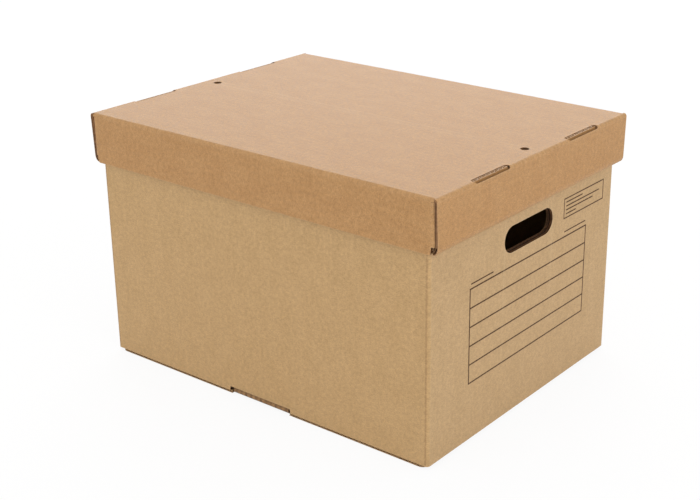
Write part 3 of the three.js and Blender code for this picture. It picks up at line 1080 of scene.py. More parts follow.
FINISHES = (
    KraftFinish("body_face", (191, 156, 110), (181, 147, 101), (208, 180, 140), (140, 108, 74)),
    # Printed end: the print, on a tan shifted from the body paper as a painted sheen of the end wall.
    KraftFinish("body_printed", (190, 158, 117), (180, 149, 108), (208, 182, 144), (140, 108, 74),
                specular=0.12, ruling=RuledPrint()),
    KraftFinish("body_back", (176, 143, 100), (166, 133, 90), (196, 164, 122), (130, 100, 70)),
    # End lining: the back of the inner end; its near-black colour round the handle hole is painted shade in
    # the gap between the two boards.
    KraftFinish("end_lining", (176, 143, 100), (166, 133, 90), (46, 30, 20), (130, 100, 70), cut=2.5),
    # Flutes and cut edges of the body board: brown board, darkened further as painted shade of their
    # recesses.
    KraftFinish("flute", (112, 80, 52), (90, 62, 38), (128, 94, 62), (72, 48, 30)),
    KraftFinish("body_cut", (98, 62, 44), (74, 44, 32), (122, 82, 58), (56, 34, 24)),
    KraftFinish("inner_cut", (92, 64, 50), (70, 48, 36), (124, 94, 74), (58, 40, 30)),
    # Tongue: a darker copy of the body paper as painted shade in the lock slot; near black at its fold, which
    # is crushed flute ends with painted shade.
    KraftFinish("tongue", (170, 132, 90), (148, 110, 70), (40, 25, 15), (84, 58, 36),
                flutes=0.12, crease=1.1, cut=0.5, comb=0.7),
    KraftFinish("lid_face", (181, 138, 90), (171, 127, 79), (206, 172, 130), (132, 94, 60), mottling=0.9),
    KraftFinish("lid_back", (158, 116, 78), (140, 100, 64), (176, 134, 96), (104, 72, 46), flutes=0.14),
    KraftFinish("lid_flute", (176, 134, 94), (152, 112, 76), (188, 148, 108), (112, 80, 52)),
    # The lid end's flutes: a darker copy of the lid flutes, painted shade in the corner slits and slots.
    KraftFinish("lid_end_flute", (136, 100, 68), (114, 80, 52), (150, 114, 80), (84, 58, 38)),
    KraftFinish("lid_cut", (154, 112, 76), (124, 86, 56), (172, 132, 94), (90, 60, 40)),
    KraftFinish("lid_skirt_cut", (158, 116, 78), (136, 94, 60), (184, 144, 104), (98, 66, 44)),
    # Floor flap flutes and cut edges: lighter copies of the board's edges, painted light that lifts the shade
    # at the foot of the walls.
    KraftFinish("floor_flute", (188, 154, 114), (168, 134, 94), (200, 166, 126), (124, 96, 68)),
    KraftFinish("floor_cut", (192, 158, 118), (172, 138, 98), (204, 172, 132), (124, 96, 68)),
    # Lock tab cut edges: a much lighter copy of the lid's cut edges, painted light in the slots.
    KraftFinish("tab_cut", (222, 184, 144), (200, 160, 120), (232, 200, 164), (132, 94, 66)),
)


class PaperStore:
    """The materials of all finishes, each built once."""

    def __init__(self) -> None:
        """Builds them."""
        groups = Groups()
        self.materials = {finish.name: finish.material(groups) for finish in FINISHES}

    def of(self, papers: PaperSet) -> list[bpy.types.Material]:
        """The materials of a panel in the order of Paper."""
        return [self.materials[name] for name in papers.value.split()]


def add_object(name: str, data: bpy.types.ID) -> bpy.types.Object:
    """A new object in the scene.

    Args:
        name: its name.
        data: its mesh, camera or light.

    Returns:
        The object.
    """
    made = bpy.data.objects.new(name, data)
    bpy.context.scene.collection.objects.link(made)
    return made


@dataclass
class Panel:
    """One panel of the box, which stands for one node of the model."""

    node: str
    body: str
    slot: str
    papers: PaperSet
    patches: list[Patch]

    def build(self, store: PaperStore) -> bpy.types.Object:
        """Builds the panel's three sheets and puts them in the node's place.

        Args:
            store: the materials.

        Returns:
            The new piece.
        """
        buffer = MeshBuffer()
        for patch in self.patches:
            patch.lay(buffer)
        mesh = buffer.mesh(f"{self.node}_board")
        for material in store.of(self.papers):
            mesh.materials.append(material)
        piece = add_object(mesh.name, mesh)
        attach(piece, self.body)
        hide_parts(self.node)
        LOG.info("%s: %d triangles", piece.name, len(mesh.polygons))
        return piece


@dataclass
class BodyWalls:
    """The wraparound walls, the rolled rims and the inner ends."""

    half_length: float = 200.0
    half_width: float = 155.0
    height: float = 252.2
    foot: float = 2.83
    rear_foot: float = 0.03
    crease_x: float = 196.8
    crease_y: float = 151.8
    rim_base: float = 249.0
    rim_gap: float = 0.8
    rim_side: float = 151.4
    left_rim_rear: float = 148.4
    left_rear: float = 148.8
    inner_foot: float = 6.0
    inner_corner: float = 9.0
    inner_face_x: float = 193.6
    hole: Opening = Opening(0.0, 178.5, 28.0, 13.0)
    inner_hole_radius: float = 12.4
    inner_hole_wear: float = 1.2
    slot_half: float = 39.0
    slot_top: float = 7.4
    slot_corner: float = 2.0
    tab_tip_x: float = -164.0
    tab_face_y: float = 152.0
    tab_taper: float = 12.0
    # painted shade of a crease groove at the start of each corner fold: its strength, place and width
    dent_shade: float = 0.55
    dent_shade_place: float = 0.2
    dent_shade_width: float = 0.9
    rim_bend: float = 0.8

    @property
    def front_end(self) -> float:
        """Blank place where the front wall's corner fold ends."""
        return self.crease_x + STOCK.fold_run

    def end_blank(self, side: Side, along: float = 0.0, along_sign: float = 1.0) -> Blank:
        """The place of an end's panels on the blank."""
        return Blank(side.value * (self.front_end + self.crease_y), side.value, along, along_sign)

    def corner_wear_and_shading(self, place: Array) -> Array:
        """Painted shade of a bell-shaped crease groove where a fold starts, and wearing with a painted
        highlight that grows as a cube over the fold.

        Args:
            place: places across the front wall.

        Returns:
            The wearing and painted shading, below 0 in the painted shade of the groove.
        """
        past = np.abs(place) - self.crease_x
        dent_shade = self.dent_shade * np.exp(-(((past - self.dent_shade_place) / self.dent_shade_width) ** 2))
        return np.clip(past / STOCK.fold_run, 0, 1) ** 3 - dent_shade

    def front_wall(self) -> Panel:
        """The front wall with its two corner folds, and the lock slot in its foot.

        Returns:
            The panel.
        """
        x, y, foot, s = self.crease_x, self.crease_y, self.foot, self.slot_half
        section = Section.folds([((-x, -y), 180, 270), ((x, -y), 270, 360)]).centred()
        low = np.concatenate([
            [(-section.end, foot), (-s - EPSILON, foot)],
            rounded([(-s, foot, 0), (-s, self.slot_top, self.slot_corner),
                     (s, self.slot_top, self.slot_corner), (s, foot, 0)]),
            [(s + EPSILON, foot), (section.end, foot)],
        ])
        low[:, 0] += np.linspace(0, TINY, len(low))
        return Panel("front_wall", "carton", "body_board", PaperSet.BODY, [Patch(
            chain_points=[*low[:, 0], *section.run],
            bands=[between(low, self.height)],
            place=section.carried(False, (0, 1)),
            rims=(Rim.CREASE, Rim.CUT, Rim.JOIN, Rim.JOIN),
            mitre=lambda a: (np.abs(a) > s).astype(float),
            cut_low=lambda a: (np.abs(a) < s).astype(float),
            bend=lambda a, b: self.corner_wear_and_shading(a),
        )])

    def rear_wall(self) -> Panel:
        """The rear wall, folded at the labelled end and cut off over the glue tab.

        Returns:
            The panel.
        """
        tip = (-self.half_length, self.half_width), (-self.half_length, self.half_width - STOCK.caliper)
        section = Section.folds([((self.crease_x, self.crease_y), 0, 90)], tip)
        fold = STOCK.fold_run
        low = np.array([(0, self.foot), (fold, self.foot), (fold + EPSILON, self.rear_foot),
                        (section.end, self.rear_foot)])
        return Panel("rear_wall", "carton", "body_board", PaperSet.BODY, [Patch(
            chain_points=[*low[:, 0], *section.run],
            bands=[between(low, self.height)],
            place=section.carried(False, (0, 1)),
            blank=Blank(across=self.front_end + 2 * self.crease_y),
            rims=(Rim.CREASE, Rim.CUT, Rim.JOIN, Rim.CUT),
            mitre=np.ones_like,
            bend=lambda a, b: fade(a - fold, ROOT_REACH),
        )])

    def end_wall(self, side: Side) -> Panel:
        """The outer board of an end with its handle hole; the right one carries the print.

        Args:
            side: which end.

        Returns:
            The panel.
        """
        sign, front = side.value, -self.crease_y
        rear, papers = (-front, PaperSet.PRINTED) if side is Side.RIGHT else (self.left_rear, PaperSet.BODY)
        return Panel(f"{side.word}_end_wall", "carton", "body_board", papers, [Patch(
            chain_points=[front, rear, *self.hole.columns()],
            bands=around(self.foot, self.rim_base, self.hole),
            place=flat((sign * self.half_length, 0, 0), (0, 1, 0), (0, 0, 1), (-sign, 0, 0)),
            blank=self.end_blank(side),
            rims=(Rim.CREASE, Rim.CREASE, Rim.CREASE, Rim.CREASE),
            mitre=np.ones_like,
            openings=[self.hole],
        )])

    def glue_tab(self) -> Panel:
        """The strip of the left end that is glued in behind the rear wall.

        Returns:
            The panel.
        """
        tip = (self.tab_tip_x, self.tab_face_y), (self.tab_tip_x, self.tab_face_y - STOCK.caliper)
        section = Section.folds([((-self.crease_x, self.left_rear), 180, 90)], tip)
        fold, foot, top = STOCK.fold_run, self.inner_foot, self.rim_base
        low = np.array([(0, foot), (fold, foot), (section.end, foot + self.tab_taper)])
        high = np.array([(0, top), (fold, top), (section.end, top - self.tab_taper)])
        return Panel("glue_tab", "carton", "body_inner_board", PaperSet.INNER, [Patch(
            chain_points=[*low[:, 0], *section.run],
            bands=[between(low, high)],
            place=section.carried(False, (0, 1)),
            blank=Blank(across=-(self.front_end + self.crease_y + self.left_rear), across_sign=-1),
            rims=(Rim.CUT, Rim.CUT, Rim.JOIN, Rim.CUT),
            bend=lambda a, b: fade(a - fold, ROOT_REACH),
        )])

    def rim_fold(self, side: Side) -> Panel:
        """The rim where an end turns over and down into the box.

        Args:
            side: which end.

        Returns:
            The panel.
        """
        rear = self.rim_side if side is Side.RIGHT else self.left_rim_rear
        centre = (self.half_length - STOCK.caliper - self.rim_gap / 2, self.rim_base)
        steps, inside = STOCK.fold_steps * 2, self.rim_gap / 2
        radii = STOCK.caliper + inside, inside
        section = Section.through(*(arc(centre, radius, 0, 180, steps) for radius in radii))
        return Panel(f"{side.word}_rim_fold", "carton", "body_board", PaperSet.BODY, [Patch(
            chain_points=[-self.rim_side, rear],
            bands=[between(0.0, section.end)],
            place=section.carried(True, (0, 2), (side.value, 1, 1)),
            blank=self.end_blank(side, self.rim_base),
            shares=np.linspace(0, 1, steps),
            rims=STRIP,
            bend=lambda a, b: np.full_like(b, self.rim_bend),
        )])

    def inner_end(self, side: Side) -> Panel:
        """The inner board of an end, which shows the face liner to the inside.

        Args:
            side: which end.

        Returns:
            The panel.
        """
        sign, front, middle = side.value, -self.rim_side, self.hole.along
        rear = self.rim_side if side is Side.RIGHT else self.left_rim_rear
        foot = rounded([(front, middle, 0), (front, self.inner_foot, self.inner_corner),
                        (rear, self.inner_foot, self.inner_corner), (rear, middle, 0)])[1:-1]
        hole = replace(self.hole, radius=self.inner_hole_radius)
        return Panel(f"{side.word}_inner_end", "carton", "body_inner_board", PaperSet.INNER_END, [Patch(
            chain_points=[*foot[:, 0], *hole.columns()],
            bands=around(foot, self.rim_base, hole),
            place=flat((sign * self.inner_face_x, 0, 0), (0, 1, 0), (0, 0, 1), (sign, 0, 0)),
            blank=self.end_blank(side, 2 * self.rim_base + 2 * STOCK.fold_run, -1),
            rims=(Rim.CUT, Rim.CREASE, Rim.CUT, Rim.CUT),
            # Painted shade on the inner board's back, and wearing with a painted highlight on its face, round
            # the handle hole.
            openings=[replace(self.hole, radius=self.hole.radius + self.inner_hole_wear)],
        )])

    def panels(self) -> list[Panel]:
        """All panels of the walls."""
        ends = [make(side) for side in Side for make in (self.end_wall, self.rim_fold, self.inner_end)]
        return [self.front_wall(), self.rear_wall(), self.glue_tab(), *ends]


@dataclass
class FoldingFloor:
    """The four floor flaps and the lock tongue."""

    half_length: float = 200.0
    half_width: float = 155.0
    root_play: float = 0.03
    rear_side: float = 197.4
    rear_taper: float = 2.0
    rear_reach: float = 309.2
    notch_half: float = 37.5
    notch_margin: float = 1.0
    notch_reach: float = 305.375
    front_side: float = 196.8
    front_reach: float = 74.0
    front_cut_half: float = 39.0
    front_cut: float = 8.0
    end_side: float = 151.8
    end_reach: float = 132.0
    end_step: float = -78.8
    corner: float = 7.0
    tongue_half: float = 35.5
    tongue_fold: Pair = (150.375, 3.2)
    tongue_angles: Pair = (-90, 45)
    tongue_faces: Pair = (150.8, 148.0)
    tongue_bends: Pair = (7.301, 6.141)
    tongue_height: float = 26.0
    tongue_taper: float = 6.0
    tongue_side_top: float = 8.4
    tongue_corner: float = 11.0
    tongue_crush_and_shade: float = 3.6
    tongue_bent: tuple[float, int] = (0.4, 14)  # the share of its run that is bent, and the rows there
    tongue_upright: tuple[float, int] = (0.5, 5)  # the share from which it is upright, and the rows there
    blank_front: float = 199.627
    blank_rear: float = 702.854

    def rear_flap(self) -> Panel:
        """The full rear flap, the lowest layer, a little narrower at its tip.

        Returns:
            The panel.
        """
        side, reach, notch = self.rear_side, self.rear_reach, self.notch_half

        def place(a: Array, b: Array, w: Array) -> Array:
            """The flap narrows in proportion to the distance from its crease."""
            across = a * (1 - self.rear_taper / side * b / reach)
            return np.stack([across, self.half_width - b, w], -1)

        half = rounded([(notch + self.notch_margin, reach, 0), (side, reach, self.corner), (side, 0, 0)])[:-1]
        half = np.concatenate([[(notch, self.notch_reach), (notch + EPSILON, reach)], half])
        high = np.concatenate([half[::-1] * (-1, 1), half])
        return Panel("rear_floor_flap", "rear_floor", "body_board", PaperSet.FLOOR, [Patch(
            chain_points=high[:, 0],
            bands=[between(self.root_play, high)],
            place=place,
            blank=Blank(self.blank_rear, -1, 0.0, -1),
            rims=ROOTED,
            mitre=np.ones_like,
        )])

    def front_flap(self) -> Panel:
        """The short front flap, cut out where the tongue passes.

        Returns:
            The panel.
        """
        side, reach, cut, play = self.front_side, self.front_reach, self.front_cut_half, self.root_play
        high = rounded([(-side, 0, 0), (reach - side, reach, self.corner), (side - reach, reach, self.corner),
                        (side, 0, 0)])
        half = np.array([(cut, self.front_cut), (cut + EPSILON, play), (side, play)])
        low = np.concatenate([half[::-1] * (-1, 1), half])
        return Panel("front_floor_flap", "front_floor", "body_inner_board", PaperSet.INNER, [Patch(
            chain_points=[*high[:, 0], *low[:, 0]],
            bands=[between(low, high)],
            place=flat((0, -self.half_width, STOCK.caliper), (1, 0, 0), (0, 1, 0), (0, 0, 1)),
            blank=Blank(along_sign=-1),
            rims=ROOTED,
            mitre=lambda a: (np.abs(a) > cut).astype(float),
        )])

    def end_flap(self, side: Side) -> Panel:
        """The flap of an end, mitred at both corners and stepped beside the front flap.

        Args:
            side: which end.

        Returns:
            The panel.
        """
        sign, root, reach, step = side.value, self.end_side, self.end_reach, self.end_step
        high = rounded([(-root, 0, 0), (step - EPSILON, root + step, 0), (step, reach, self.corner),
                        (root - reach, reach, self.corner), (root, 0, 0)])
        body = f"{side.word}_floor"
        return Panel(f"{body}_flap", body, "body_inner_board", PaperSet.INNER, [Patch(
            chain_points=high[:, 0],
            bands=[between(self.root_play, high)],
            place=flat((sign * self.half_length, 0, STOCK.caliper), (0, 1, 0), (-sign, 0, 0), (0, 0, 1)),
            blank=Blank(sign * (self.blank_front + self.end_side), sign, 0.0, -1),
            rims=ROOTED,
            mitre=np.ones_like,
        )])

    def tongue(self) -> Panel:
        """The tongue: a fold up, a short lean inwards and an upright, with a rounded top.

        Returns:
            The panel.
        """
        fold, angles, top = self.tongue_fold, self.tongue_angles, self.tongue_height
        sides = zip((STOCK.fold_outside, STOCK.fold_inside), self.tongue_faces, self.tongue_bends)
        section = Section.through(*(
            np.concatenate([arc(fold, radius, *angles), [(y, bend), (y, top)]]) for radius, y, bend in sides
        ))
        total, half, taper, corner = section.end, self.tongue_half, self.tongue_taper, self.tongue_corner
        side_run = total - (top - self.tongue_side_top)
        upright, upright_rows = self.tongue_upright
        high = rounded([(-half, side_run, 0), (taper - half, total, corner), (half - taper, total, corner),
                        (half, side_run, 0)])
        return Panel("lock_tongue", "rear_floor", "body_board", PaperSet.TONGUE, [Patch(
            chain_points=high[:, 0],
            bands=[between(0.0, high)],
            place=section.carried(True, (1, 2), (1, -1, 1)),
            blank=Blank(along=-self.notch_reach, along_sign=-1),
            shares=[*np.linspace(0, *self.tongue_bent), *np.linspace(upright, 1, upright_rows)],
            rims=CARRIED,
            # The dark band at the fold: crushed flute ends with painted shade of the slot.
            bend=lambda a, b: np.exp(-((b / self.tongue_crush_and_shade) ** 2)),
        )])

    def panels(self) -> list[Panel]:
        """All panels of the floor."""
        return [self.rear_flap(), self.tongue(), self.front_flap(), *(self.end_flap(side) for side in Side)]


@dataclass
class RollEndLid:
    """The lid: a tray whose ends roll over its corner flaps and lock through its top."""

    base: float = 252.2
    half_length: float = 209.6
    half_width: float = 158.4
    crease_x: float = 206.4
    crease_y: float = 155.2
    end_narrowing: float = 1.6
    panel_top: float = -0.4
    foot: float = -47.2
    outer_foot: float = -40.2
    flap_foot: float = -39.8
    flap_top: float = -0.8
    flap_fold: Pair = (203.6, 155.2)
    flap_tip: float = 110.4
    flap_faces: Pair = (206.8, 204.0)
    flap_taper: float = 3.0
    flap_corner: float = 6.0
    flap_bent: tuple[float, int] = (0.06, 10)  # the share of a flap's run that is bent, and the rows there
    flap_rows: tuple[float, ...] = (0.2, 0.5, 1.0)
    skirt_curve: float = 2.4
    skirt_steps: int = 9
    rim_centre_x: float = 204.4
    rim_bend: float = 0.5
    inner_foot: float = -44.0
    inner_side: float = 154.8
    inner_face_x: float = 201.2
    slot: Opening = Opening(76.0, 206.2, 24.5, 3.2)
    air_hole: Opening = Opening(0.0, 192.1, 0.0, 4.25)
    tab_half: float = 26.6
    tab_slit: float = 1.0
    tab_foot: float = -18.0
    tab_bend: float = -6.0
    tab_top: float = 2.3
    tab_lean: float = 2.4
    tab_corner: float = 2.0
    tab_rows: int = 12

    @property
    def end_start(self) -> float:
        """Blank place where an outer end starts below its fold."""
        return self.crease_x + STOCK.fold_run

    @property
    def end_depth(self) -> float:
        """Height of an outer end between its fold and its rim."""
        return self.panel_top - self.outer_foot

    def slots(self) -> list[Opening]:
        """The four lock slots on the top's blank."""
        return [replace(self.slot, across=s * self.slot.across, along=t * self.slot.along)
                for s in (-1, 1) for t in (-1, 1)]

    def slot_columns(self) -> list[float]:
        """Columns that trace the slots."""
        return [column for slot in self.slots() for column in slot.columns()]

    def top(self) -> Panel:
        """The top with its side folds and end folds, the slots and the air holes.

        Returns:
            The panel.
        """
        y, z = self.crease_y, self.panel_top
        section = Section.folds([((-y, z), 180, 90), ((y, z), 90, 0)]).centred()
        holes = [replace(self.air_hole, along=sign * self.air_hole.along) for sign in (-1, 1)]

        def slot_edge(a: Array) -> Array:
            """Where the top ends: at its fold, or at a slot."""
            half = self.slot.half(np.abs(a))
            return np.where(half > 0, self.slot.along - half, self.crease_x)

        main = Patch(
            chain_points=[*section.run, *self.slot_columns(), *self.air_hole.columns()],
            bands=around(lambda a: -slot_edge(a), slot_edge, *holes),
            place=section.carried(False, (1, 2), lift=self.base),
            rims=(Rim.CREASE, Rim.CREASE, Rim.JOIN, Rim.JOIN),
            bend=lambda a, b: fade(y - np.abs(a), ROOT_REACH),
            openings=[*self.slots(), *holes],
        )
        patches = [main, *(self.end_fold(side) for side in Side)]
        return Panel("lid_top", "lid", "lid_board", PaperSet.LID, patches)

    def end_fold(self, side: Side) -> Patch:
        """The fold from the top into an outer end, cut through by the slots.

        Args:
            side: which end.

        Returns:
            The fold's board.
        """
        section = Section.folds([((self.crease_x, self.panel_top), 90, 0)])

        def start(a: Array) -> Array:
            """Where the fold starts beyond a slot: the run whose sine gives the slot's far edge.

            Args:
                a: places across the top.

            Returns:
                Places along the fold.
            """
            half = self.slot.half(np.abs(a))
            past = np.where(half > 0, self.slot.along + half - self.crease_x, 0.0)
            return np.arcsin(np.clip(past / STOCK.fold_outside, 0, 1)) / (np.pi / 2) * section.end

        return Patch(
            chain_points=[-self.half_width, self.half_width, *self.slot_columns()],
            bands=[between(start, section.end)],
            place=section.carried(True, (0, 2), (side.value, 1, 1), self.base),
            blank=Blank(along=side.value * self.crease_x, along_sign=side.value),
            rims=STRIP,
            cut_low=lambda a: (start(a) > 0).astype(float),
            bend=lambda a, b: np.ones_like(b),
        )

    def skirt(self, word: str, sign: float) -> Panel:
        """A long side, its foot curved up at both ends to clear the rolled rims.

        Args:
            word: front or rear.
            sign: the sign of Y there.

        Returns:
            The panel.
        """
        reach, top = self.flap_fold[0], self.panel_top
        share = np.linspace(0, 1, self.skirt_steps)
        rise = (self.flap_foot - self.foot) * share**2
        curve = np.stack([top - (self.foot + rise), reach - self.skirt_curve * (1 - share) ** 2], 1)[::-1]
        half = np.concatenate([[(0.0, reach)], curve])
        return Panel(f"lid_{word}_skirt", "lid", "lid_board", PaperSet.LID_RIM, [Patch(
            chain_points=half[:, 0],
            bands=[between(half * (1, -1), half)],
            place=flat((0, sign * self.half_width, self.base + top), (0, 0, -1), (1, 0, 0), (0, -sign, 0)),
            blank=Blank(sign * (self.crease_y + STOCK.fold_run), sign),
            rims=(Rim.CREASE, Rim.CREASE, Rim.CREASE, Rim.CUT),
        )])

    def corner_flap(self, word: str, sign: float, side: Side) -> Panel:
        """The end of a skirt, folded in between the two boards of the lid's end.

        Args:
            word: front or rear.
            sign: the sign of Y there.
            side: which end.

        Returns:
            The panel.
        """
        face_x, back_x = self.flap_faces
        section = Section.folds([(self.flap_fold, 90, 0)], ((face_x, self.flap_tip), (back_x, self.flap_tip)))
        carried = section.carried(True, (0, 1), (side.value, sign, 1))
        fold, total, taper, corner = STOCK.fold_run, section.end, self.flap_taper, self.flap_corner
        top, foot = self.panel_top - self.flap_top, self.panel_top - self.flap_foot
        high = rounded([(top, fold, 0), (top + taper, total, corner), (foot - taper, total, corner),
                        (foot, fold, 0)])
        name = f"lid_{word}_{side.word}_corner_flap"
        return Panel(name, "lid", "lid_inner_board", PaperSet.LID, [Patch(
            chain_points=high[:, 0],
            bands=[between(0.0, high)],
            place=lambda a, b, w: carried(self.base + self.panel_top - a, b, w),
            blank=Blank(sign * (self.crease_y + fold), sign, side.value * self.flap_fold[0], side.value),
            shares=[*np.linspace(0, *self.flap_bent), *self.flap_rows],
            rims=CARRIED,
            bend=lambda a, b: fade(b - fold, ROOT_REACH),
        )])

    def outer_end(self, side: Side) -> Panel:
        """The outer board of the lid's end; its top edge is open where the slots cut it.

        Args:
            side: which end.

        Returns:
            The panel.
        """
        sign, depth = side.value, self.end_depth

        def place(a: Array, b: Array, w: Array) -> Array:
            """The end narrows with the depth below the top, which opens the slits at the corners."""
            y = a * (1 - self.end_narrowing / self.half_width * b / depth)
            return np.stack([sign * (self.half_length - w), y, self.base + self.panel_top - b], -1)

        return Panel(f"lid_{side.word}_outer_end", "lid", "lid_board", PaperSet.LID_END, [Patch(
            chain_points=[-self.half_width, self.half_width, *self.slot_columns()],
            bands=[between(0.0, depth)],
            place=place,
            blank=Blank(along=sign * self.end_start, along_sign=sign),
            rims=(Rim.CREASE, Rim.JOIN, Rim.CUT, Rim.CUT),
        )])

    def rim_section(self) -> Section:
        """The rolled rim: a quarter ellipse outside, then a tight quarter round inside.

        Returns:
            The section.
        """
        x, steps = self.rim_centre_x, STOCK.fold_steps * 2
        half_axes = np.array([self.half_length - x, self.outer_foot - self.foot])
        return Section.through(*(
            np.concatenate([arc((x, self.outer_foot), half_axes - depth, 0, -90, steps),
                            arc((x, self.inner_foot), radius, -90, -180)[1:]])
            for depth, radius in ((0.0, STOCK.fold_outside), (STOCK.caliper, STOCK.fold_inside))
        ))

    def rim_fold(self, side: Side) -> Panel:
        """The rolled rim under the lid's end, full width outside and between the skirts inside.

        Args:
            side: which end.

        Returns:
            The panel.
        """
        section, sign = self.rim_section(), side.value
        total, outer = section.end, float(section.run[STOCK.fold_steps * 2])
        inner, edge = self.inner_side, self.half_width - self.end_narrowing
        half = np.array([(inner, total), (inner + EPSILON, outer), (edge, outer)])
        return Panel(f"lid_{side.word}_rim_fold", "lid", "lid_board", PaperSet.LID_RIM, [Patch(
            chain_points=[*half[:, 0], *-half[:, 0]],
            bands=[between(0.0, np.concatenate([half[::-1] * (-1, 1), half]))],
            place=section.carried(True, (0, 2), (sign, 1, 1), self.base),
            blank=Blank(along=sign * (self.end_start + self.end_depth), along_sign=sign),
            shares=np.linspace(0, 1, STOCK.fold_steps * 2),
            rims=STRIP,
            bend=lambda a, b: self.rim_bend * np.clip(b / outer, 0, 1),
        )])

    def inner_end(self, side: Side) -> Panel:
        """The inner board of the lid's end, with its two lock tabs.

        Args:
            side: which end.

        Returns:
            The panel.
        """
        sign, total, middle = side.value, self.panel_top - self.inner_foot, self.slot.across
        cut, turn = self.tab_half + self.tab_slit, self.tab_foot - self.inner_foot
        start = self.end_start + self.end_depth + self.rim_section().end
        edges = [s * (middle + t * cut) + e for s in (-1, 1) for t in (-1, 1) for e in (-EPSILON, EPSILON)]
        main = Patch(
            chain_points=[-self.inner_side, self.inner_side, *edges],
            bands=[between(0.0, lambda a: np.where(np.abs(np.abs(a) - middle) < cut, turn, total))],
            place=flat((sign * self.inner_face_x, 0, self.base + self.inner_foot), (0, 1, 0), (0, 0, 1),
                       (sign, 0, 0)),
            blank=Blank(along=sign * start, along_sign=sign),
            rims=CARRIED,
        )
        patches = [main, *(self.lock_tab(side, s * middle, start + turn) for s in (-1, 1))]
        return Panel(f"lid_{side.word}_inner_end", "lid", "lid_inner_board", PaperSet.LID_INNER, patches)

    def lock_tab(self, side: Side, centre: float, start: float) -> Patch:
        """A lock tab, which leans out into its slot and stands upright in it.

        Args:
            side: which end.
            centre: the tab's middle.
            start: blank place where it starts.

        Returns:
            The tab's board.
        """
        leans = zip((self.tab_foot, self.tab_bend, self.tab_top), (0.0, self.tab_lean, self.tab_lean))
        face = np.array([(self.inner_face_x + lean, z) for z, lean in leans])
        section = Section.through(face, face + (STOCK.caliper, 0.0))
        low, high, total = centre - self.tab_half, centre + self.tab_half, section.end
        corner = self.tab_corner
        top = rounded([(low, 0, 0), (low, total, corner), (high, total, corner), (high, 0, 0)])[1:-1]
        return Patch(
            chain_points=top[:, 0],
            bands=[between(0.0, top)],
            place=section.carried(True, (0, 2), (side.value, 1, 1), self.base),
            blank=Blank(along=side.value * start, along_sign=side.value),
            shares=np.linspace(0, 1, self.tab_rows),
            rims=CARRIED,
        )

    def panels(self) -> list[Panel]:
        """All panels of the lid.

        Returns:
            The panels, end by end after the top and the skirts.
        """
        sides = (("front", -1.0), ("rear", 1.0))
        made = [self.top(), *(self.skirt(word, sign) for word, sign in sides)]
        for side in Side:
            made += [self.outer_end(side), self.rim_fold(side), self.inner_end(side)]
            made += [self.corner_flap(word, sign, side) for word, sign in sides]
        return made


def turned(at: Sequence[float], yaw: float, tilt: float) -> Matrix:
    """A place, with a turn by the tilt about X and then by the yaw about Z, in radians."""
    return Matrix.Translation(at) @ (Matrix.Rotation(yaw, 4, "Z") @ Matrix.Rotation(tilt, 4, "X"))


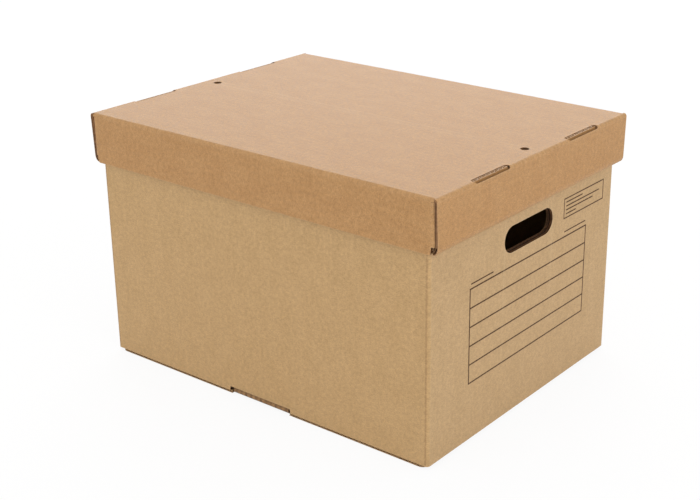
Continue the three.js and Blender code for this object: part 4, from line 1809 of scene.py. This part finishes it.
@dataclass
class Studio:
    """A plain white floor, a soft even light and the camera, in metres."""

    camera_at: tuple[float, float, float] = (0.79357, -0.97339, 0.61356)
    yaw: float = 37.329
    pitch: float = 20.982
    focal_pixels: float = 1327.84
    middle: Pair = (400.0, 230.0)
    frame: tuple[int, int] = (700, 500)
    sensor: float = 36.0
    floor_half: float = 14.0
    floor_drop: float = 0.0004
    floor_white: float = 0.97
    floor_seen: float = 0.9
    floor_roughness: float = 0.9
    floor_specular: float = 0.1
    ambient: float = 0.72
    aim: tuple[float, float, float] = (0.0, 0.0, 0.12)
    lamps: tuple[tuple[str, tuple[float, float, float], Pair, float], ...] = (
        ("overhead_softbox", (0.1, 0.25, 2.1), (2.2, 2.2), 6.0),
        ("side_softbox", (2.3, -0.5, 1.2), (1.6, 1.6), 16.0),
        ("front_softbox", (-0.6, -2.6, 1.3), (1.8, 1.6), 12.0),
        ("rear_softbox", (-1.5, 2.0, 1.15), (3.2, 1.5), 31.0),
    )

    def camera(self) -> None:
        """Sets up the camera, turned by yaw and pitch, with the photograph's framing as a small shift."""
        width, height = self.frame
        data = bpy.data.cameras.new("camera")
        data.sensor_width = self.sensor
        data.lens = self.focal_pixels * self.sensor / width
        data.shift_x = (width / 2 - self.middle[0]) / width
        data.shift_y = (self.middle[1] - height / 2) / width
        camera = bpy.context.scene.camera = add_object("camera", data)
        camera.matrix_world = turned(self.camera_at, math.radians(self.yaw), math.radians(90 - self.pitch))

    def seen(self, graph: Graph) -> Socket:
        """Tells the rays from the camera, and glossy and transmitted ones, from the rest.

        Args:
            graph: the graph of a material or of the world.

        Returns:
            1 for those rays and 0 for others.
        """
        path = graph.node("ShaderNodeLightPath")
        first = graph.math("MAXIMUM", path["Is Camera Ray"], path["Is Glossy Ray"])
        return graph.math("MAXIMUM", first, path["Is Transmission Ray"])

    def floor(self) -> None:
        """Lays a white floor that shows the object's shadow softly and can't be seen from below."""
        half, white = self.floor_half, self.floor_white
        mesh = bpy.data.meshes.new("floor")
        corners = ((-half, -half), (half, -half), (half, half), (-half, half))
        mesh.from_pydata([(x, y, -self.floor_drop) for x, y in corners], [], [(0, 1, 2, 3)])
        material = bpy.data.materials.new("white_floor")
        graph = Graph.of(material)
        matt = graph.node("ShaderNodeBsdfPrincipled", {
            "Base Color": (white, white, white, 1),
            "Roughness": self.floor_roughness, "Specular IOR Level": self.floor_specular,
        })
        glow = graph.node("ShaderNodeEmission", {"Color": (1, 1, 1, 1), "Strength": 1.0})
        share = graph.product(self.seen(graph), self.floor_seen)
        lit = graph.node("ShaderNodeMixShader", {0: share, 1: matt[0], 2: glow[0]})
        below = graph.node("ShaderNodeNewGeometry")["Backfacing"]
        clear = graph.node("ShaderNodeBsdfTransparent")
        shown = graph.node("ShaderNodeMixShader", {0: below, 1: lit[0], 2: clear[0]})
        graph.node("ShaderNodeOutputMaterial", {"Surface": shown[0]})
        mesh.materials.append(material)
        add_object("floor", mesh)

    def world(self) -> None:
        """Makes a white surround: full white where it is seen, and a plain level where it lights."""
        world = bpy.context.scene.world = bpy.data.worlds.new("studio")
        graph = Graph.of(world)
        level = graph.remap(self.seen(graph), (0.0, 1.0), (self.ambient, 1.0))
        sky = graph.node("ShaderNodeBackground", {"Color": (1, 1, 1, 1), "Strength": level})
        graph.node("ShaderNodeOutputWorld", {"Surface": sky[0]})

    def lights(self) -> None:
        """Hangs the softboxes, each turned towards the middle of the box."""
        for name, at, size, power in self.lamps:
            data = bpy.data.lights.new(name, "AREA")
            data.shape = "RECTANGLE"
            data.size, data.size_y = size
            data.energy = power
            lamp = add_object(name, data)
            lamp.visible_camera = False
            x, y, z = np.array(at) - self.aim
            lamp.matrix_world = turned(at, math.atan2(x, -y), math.atan2(math.hypot(x, y), z))

    def build(self) -> None:
        """Sets up the whole studio."""
        self.camera()
        self.floor()
        self.world()
        self.lights()
        bpy.context.scene.view_settings.view_transform = "Standard"
        LOG.info("studio ready")


def main() -> None:
    """Loads the frame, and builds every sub-assembly and the studio."""
    logging.basicConfig(level=logging.INFO, format="%(name)s: %(message)s")
    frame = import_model()
    LOG.info("frame loaded with %d nodes", len(frame["nodes"]))
    store = PaperStore()
    for assembly in (BodyWalls(), FoldingFloor(), RollEndLid()):
        for panel in assembly.panels():
            panel.build(store)
    Studio().build()
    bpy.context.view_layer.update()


if __name__ == "__main__":
    main()
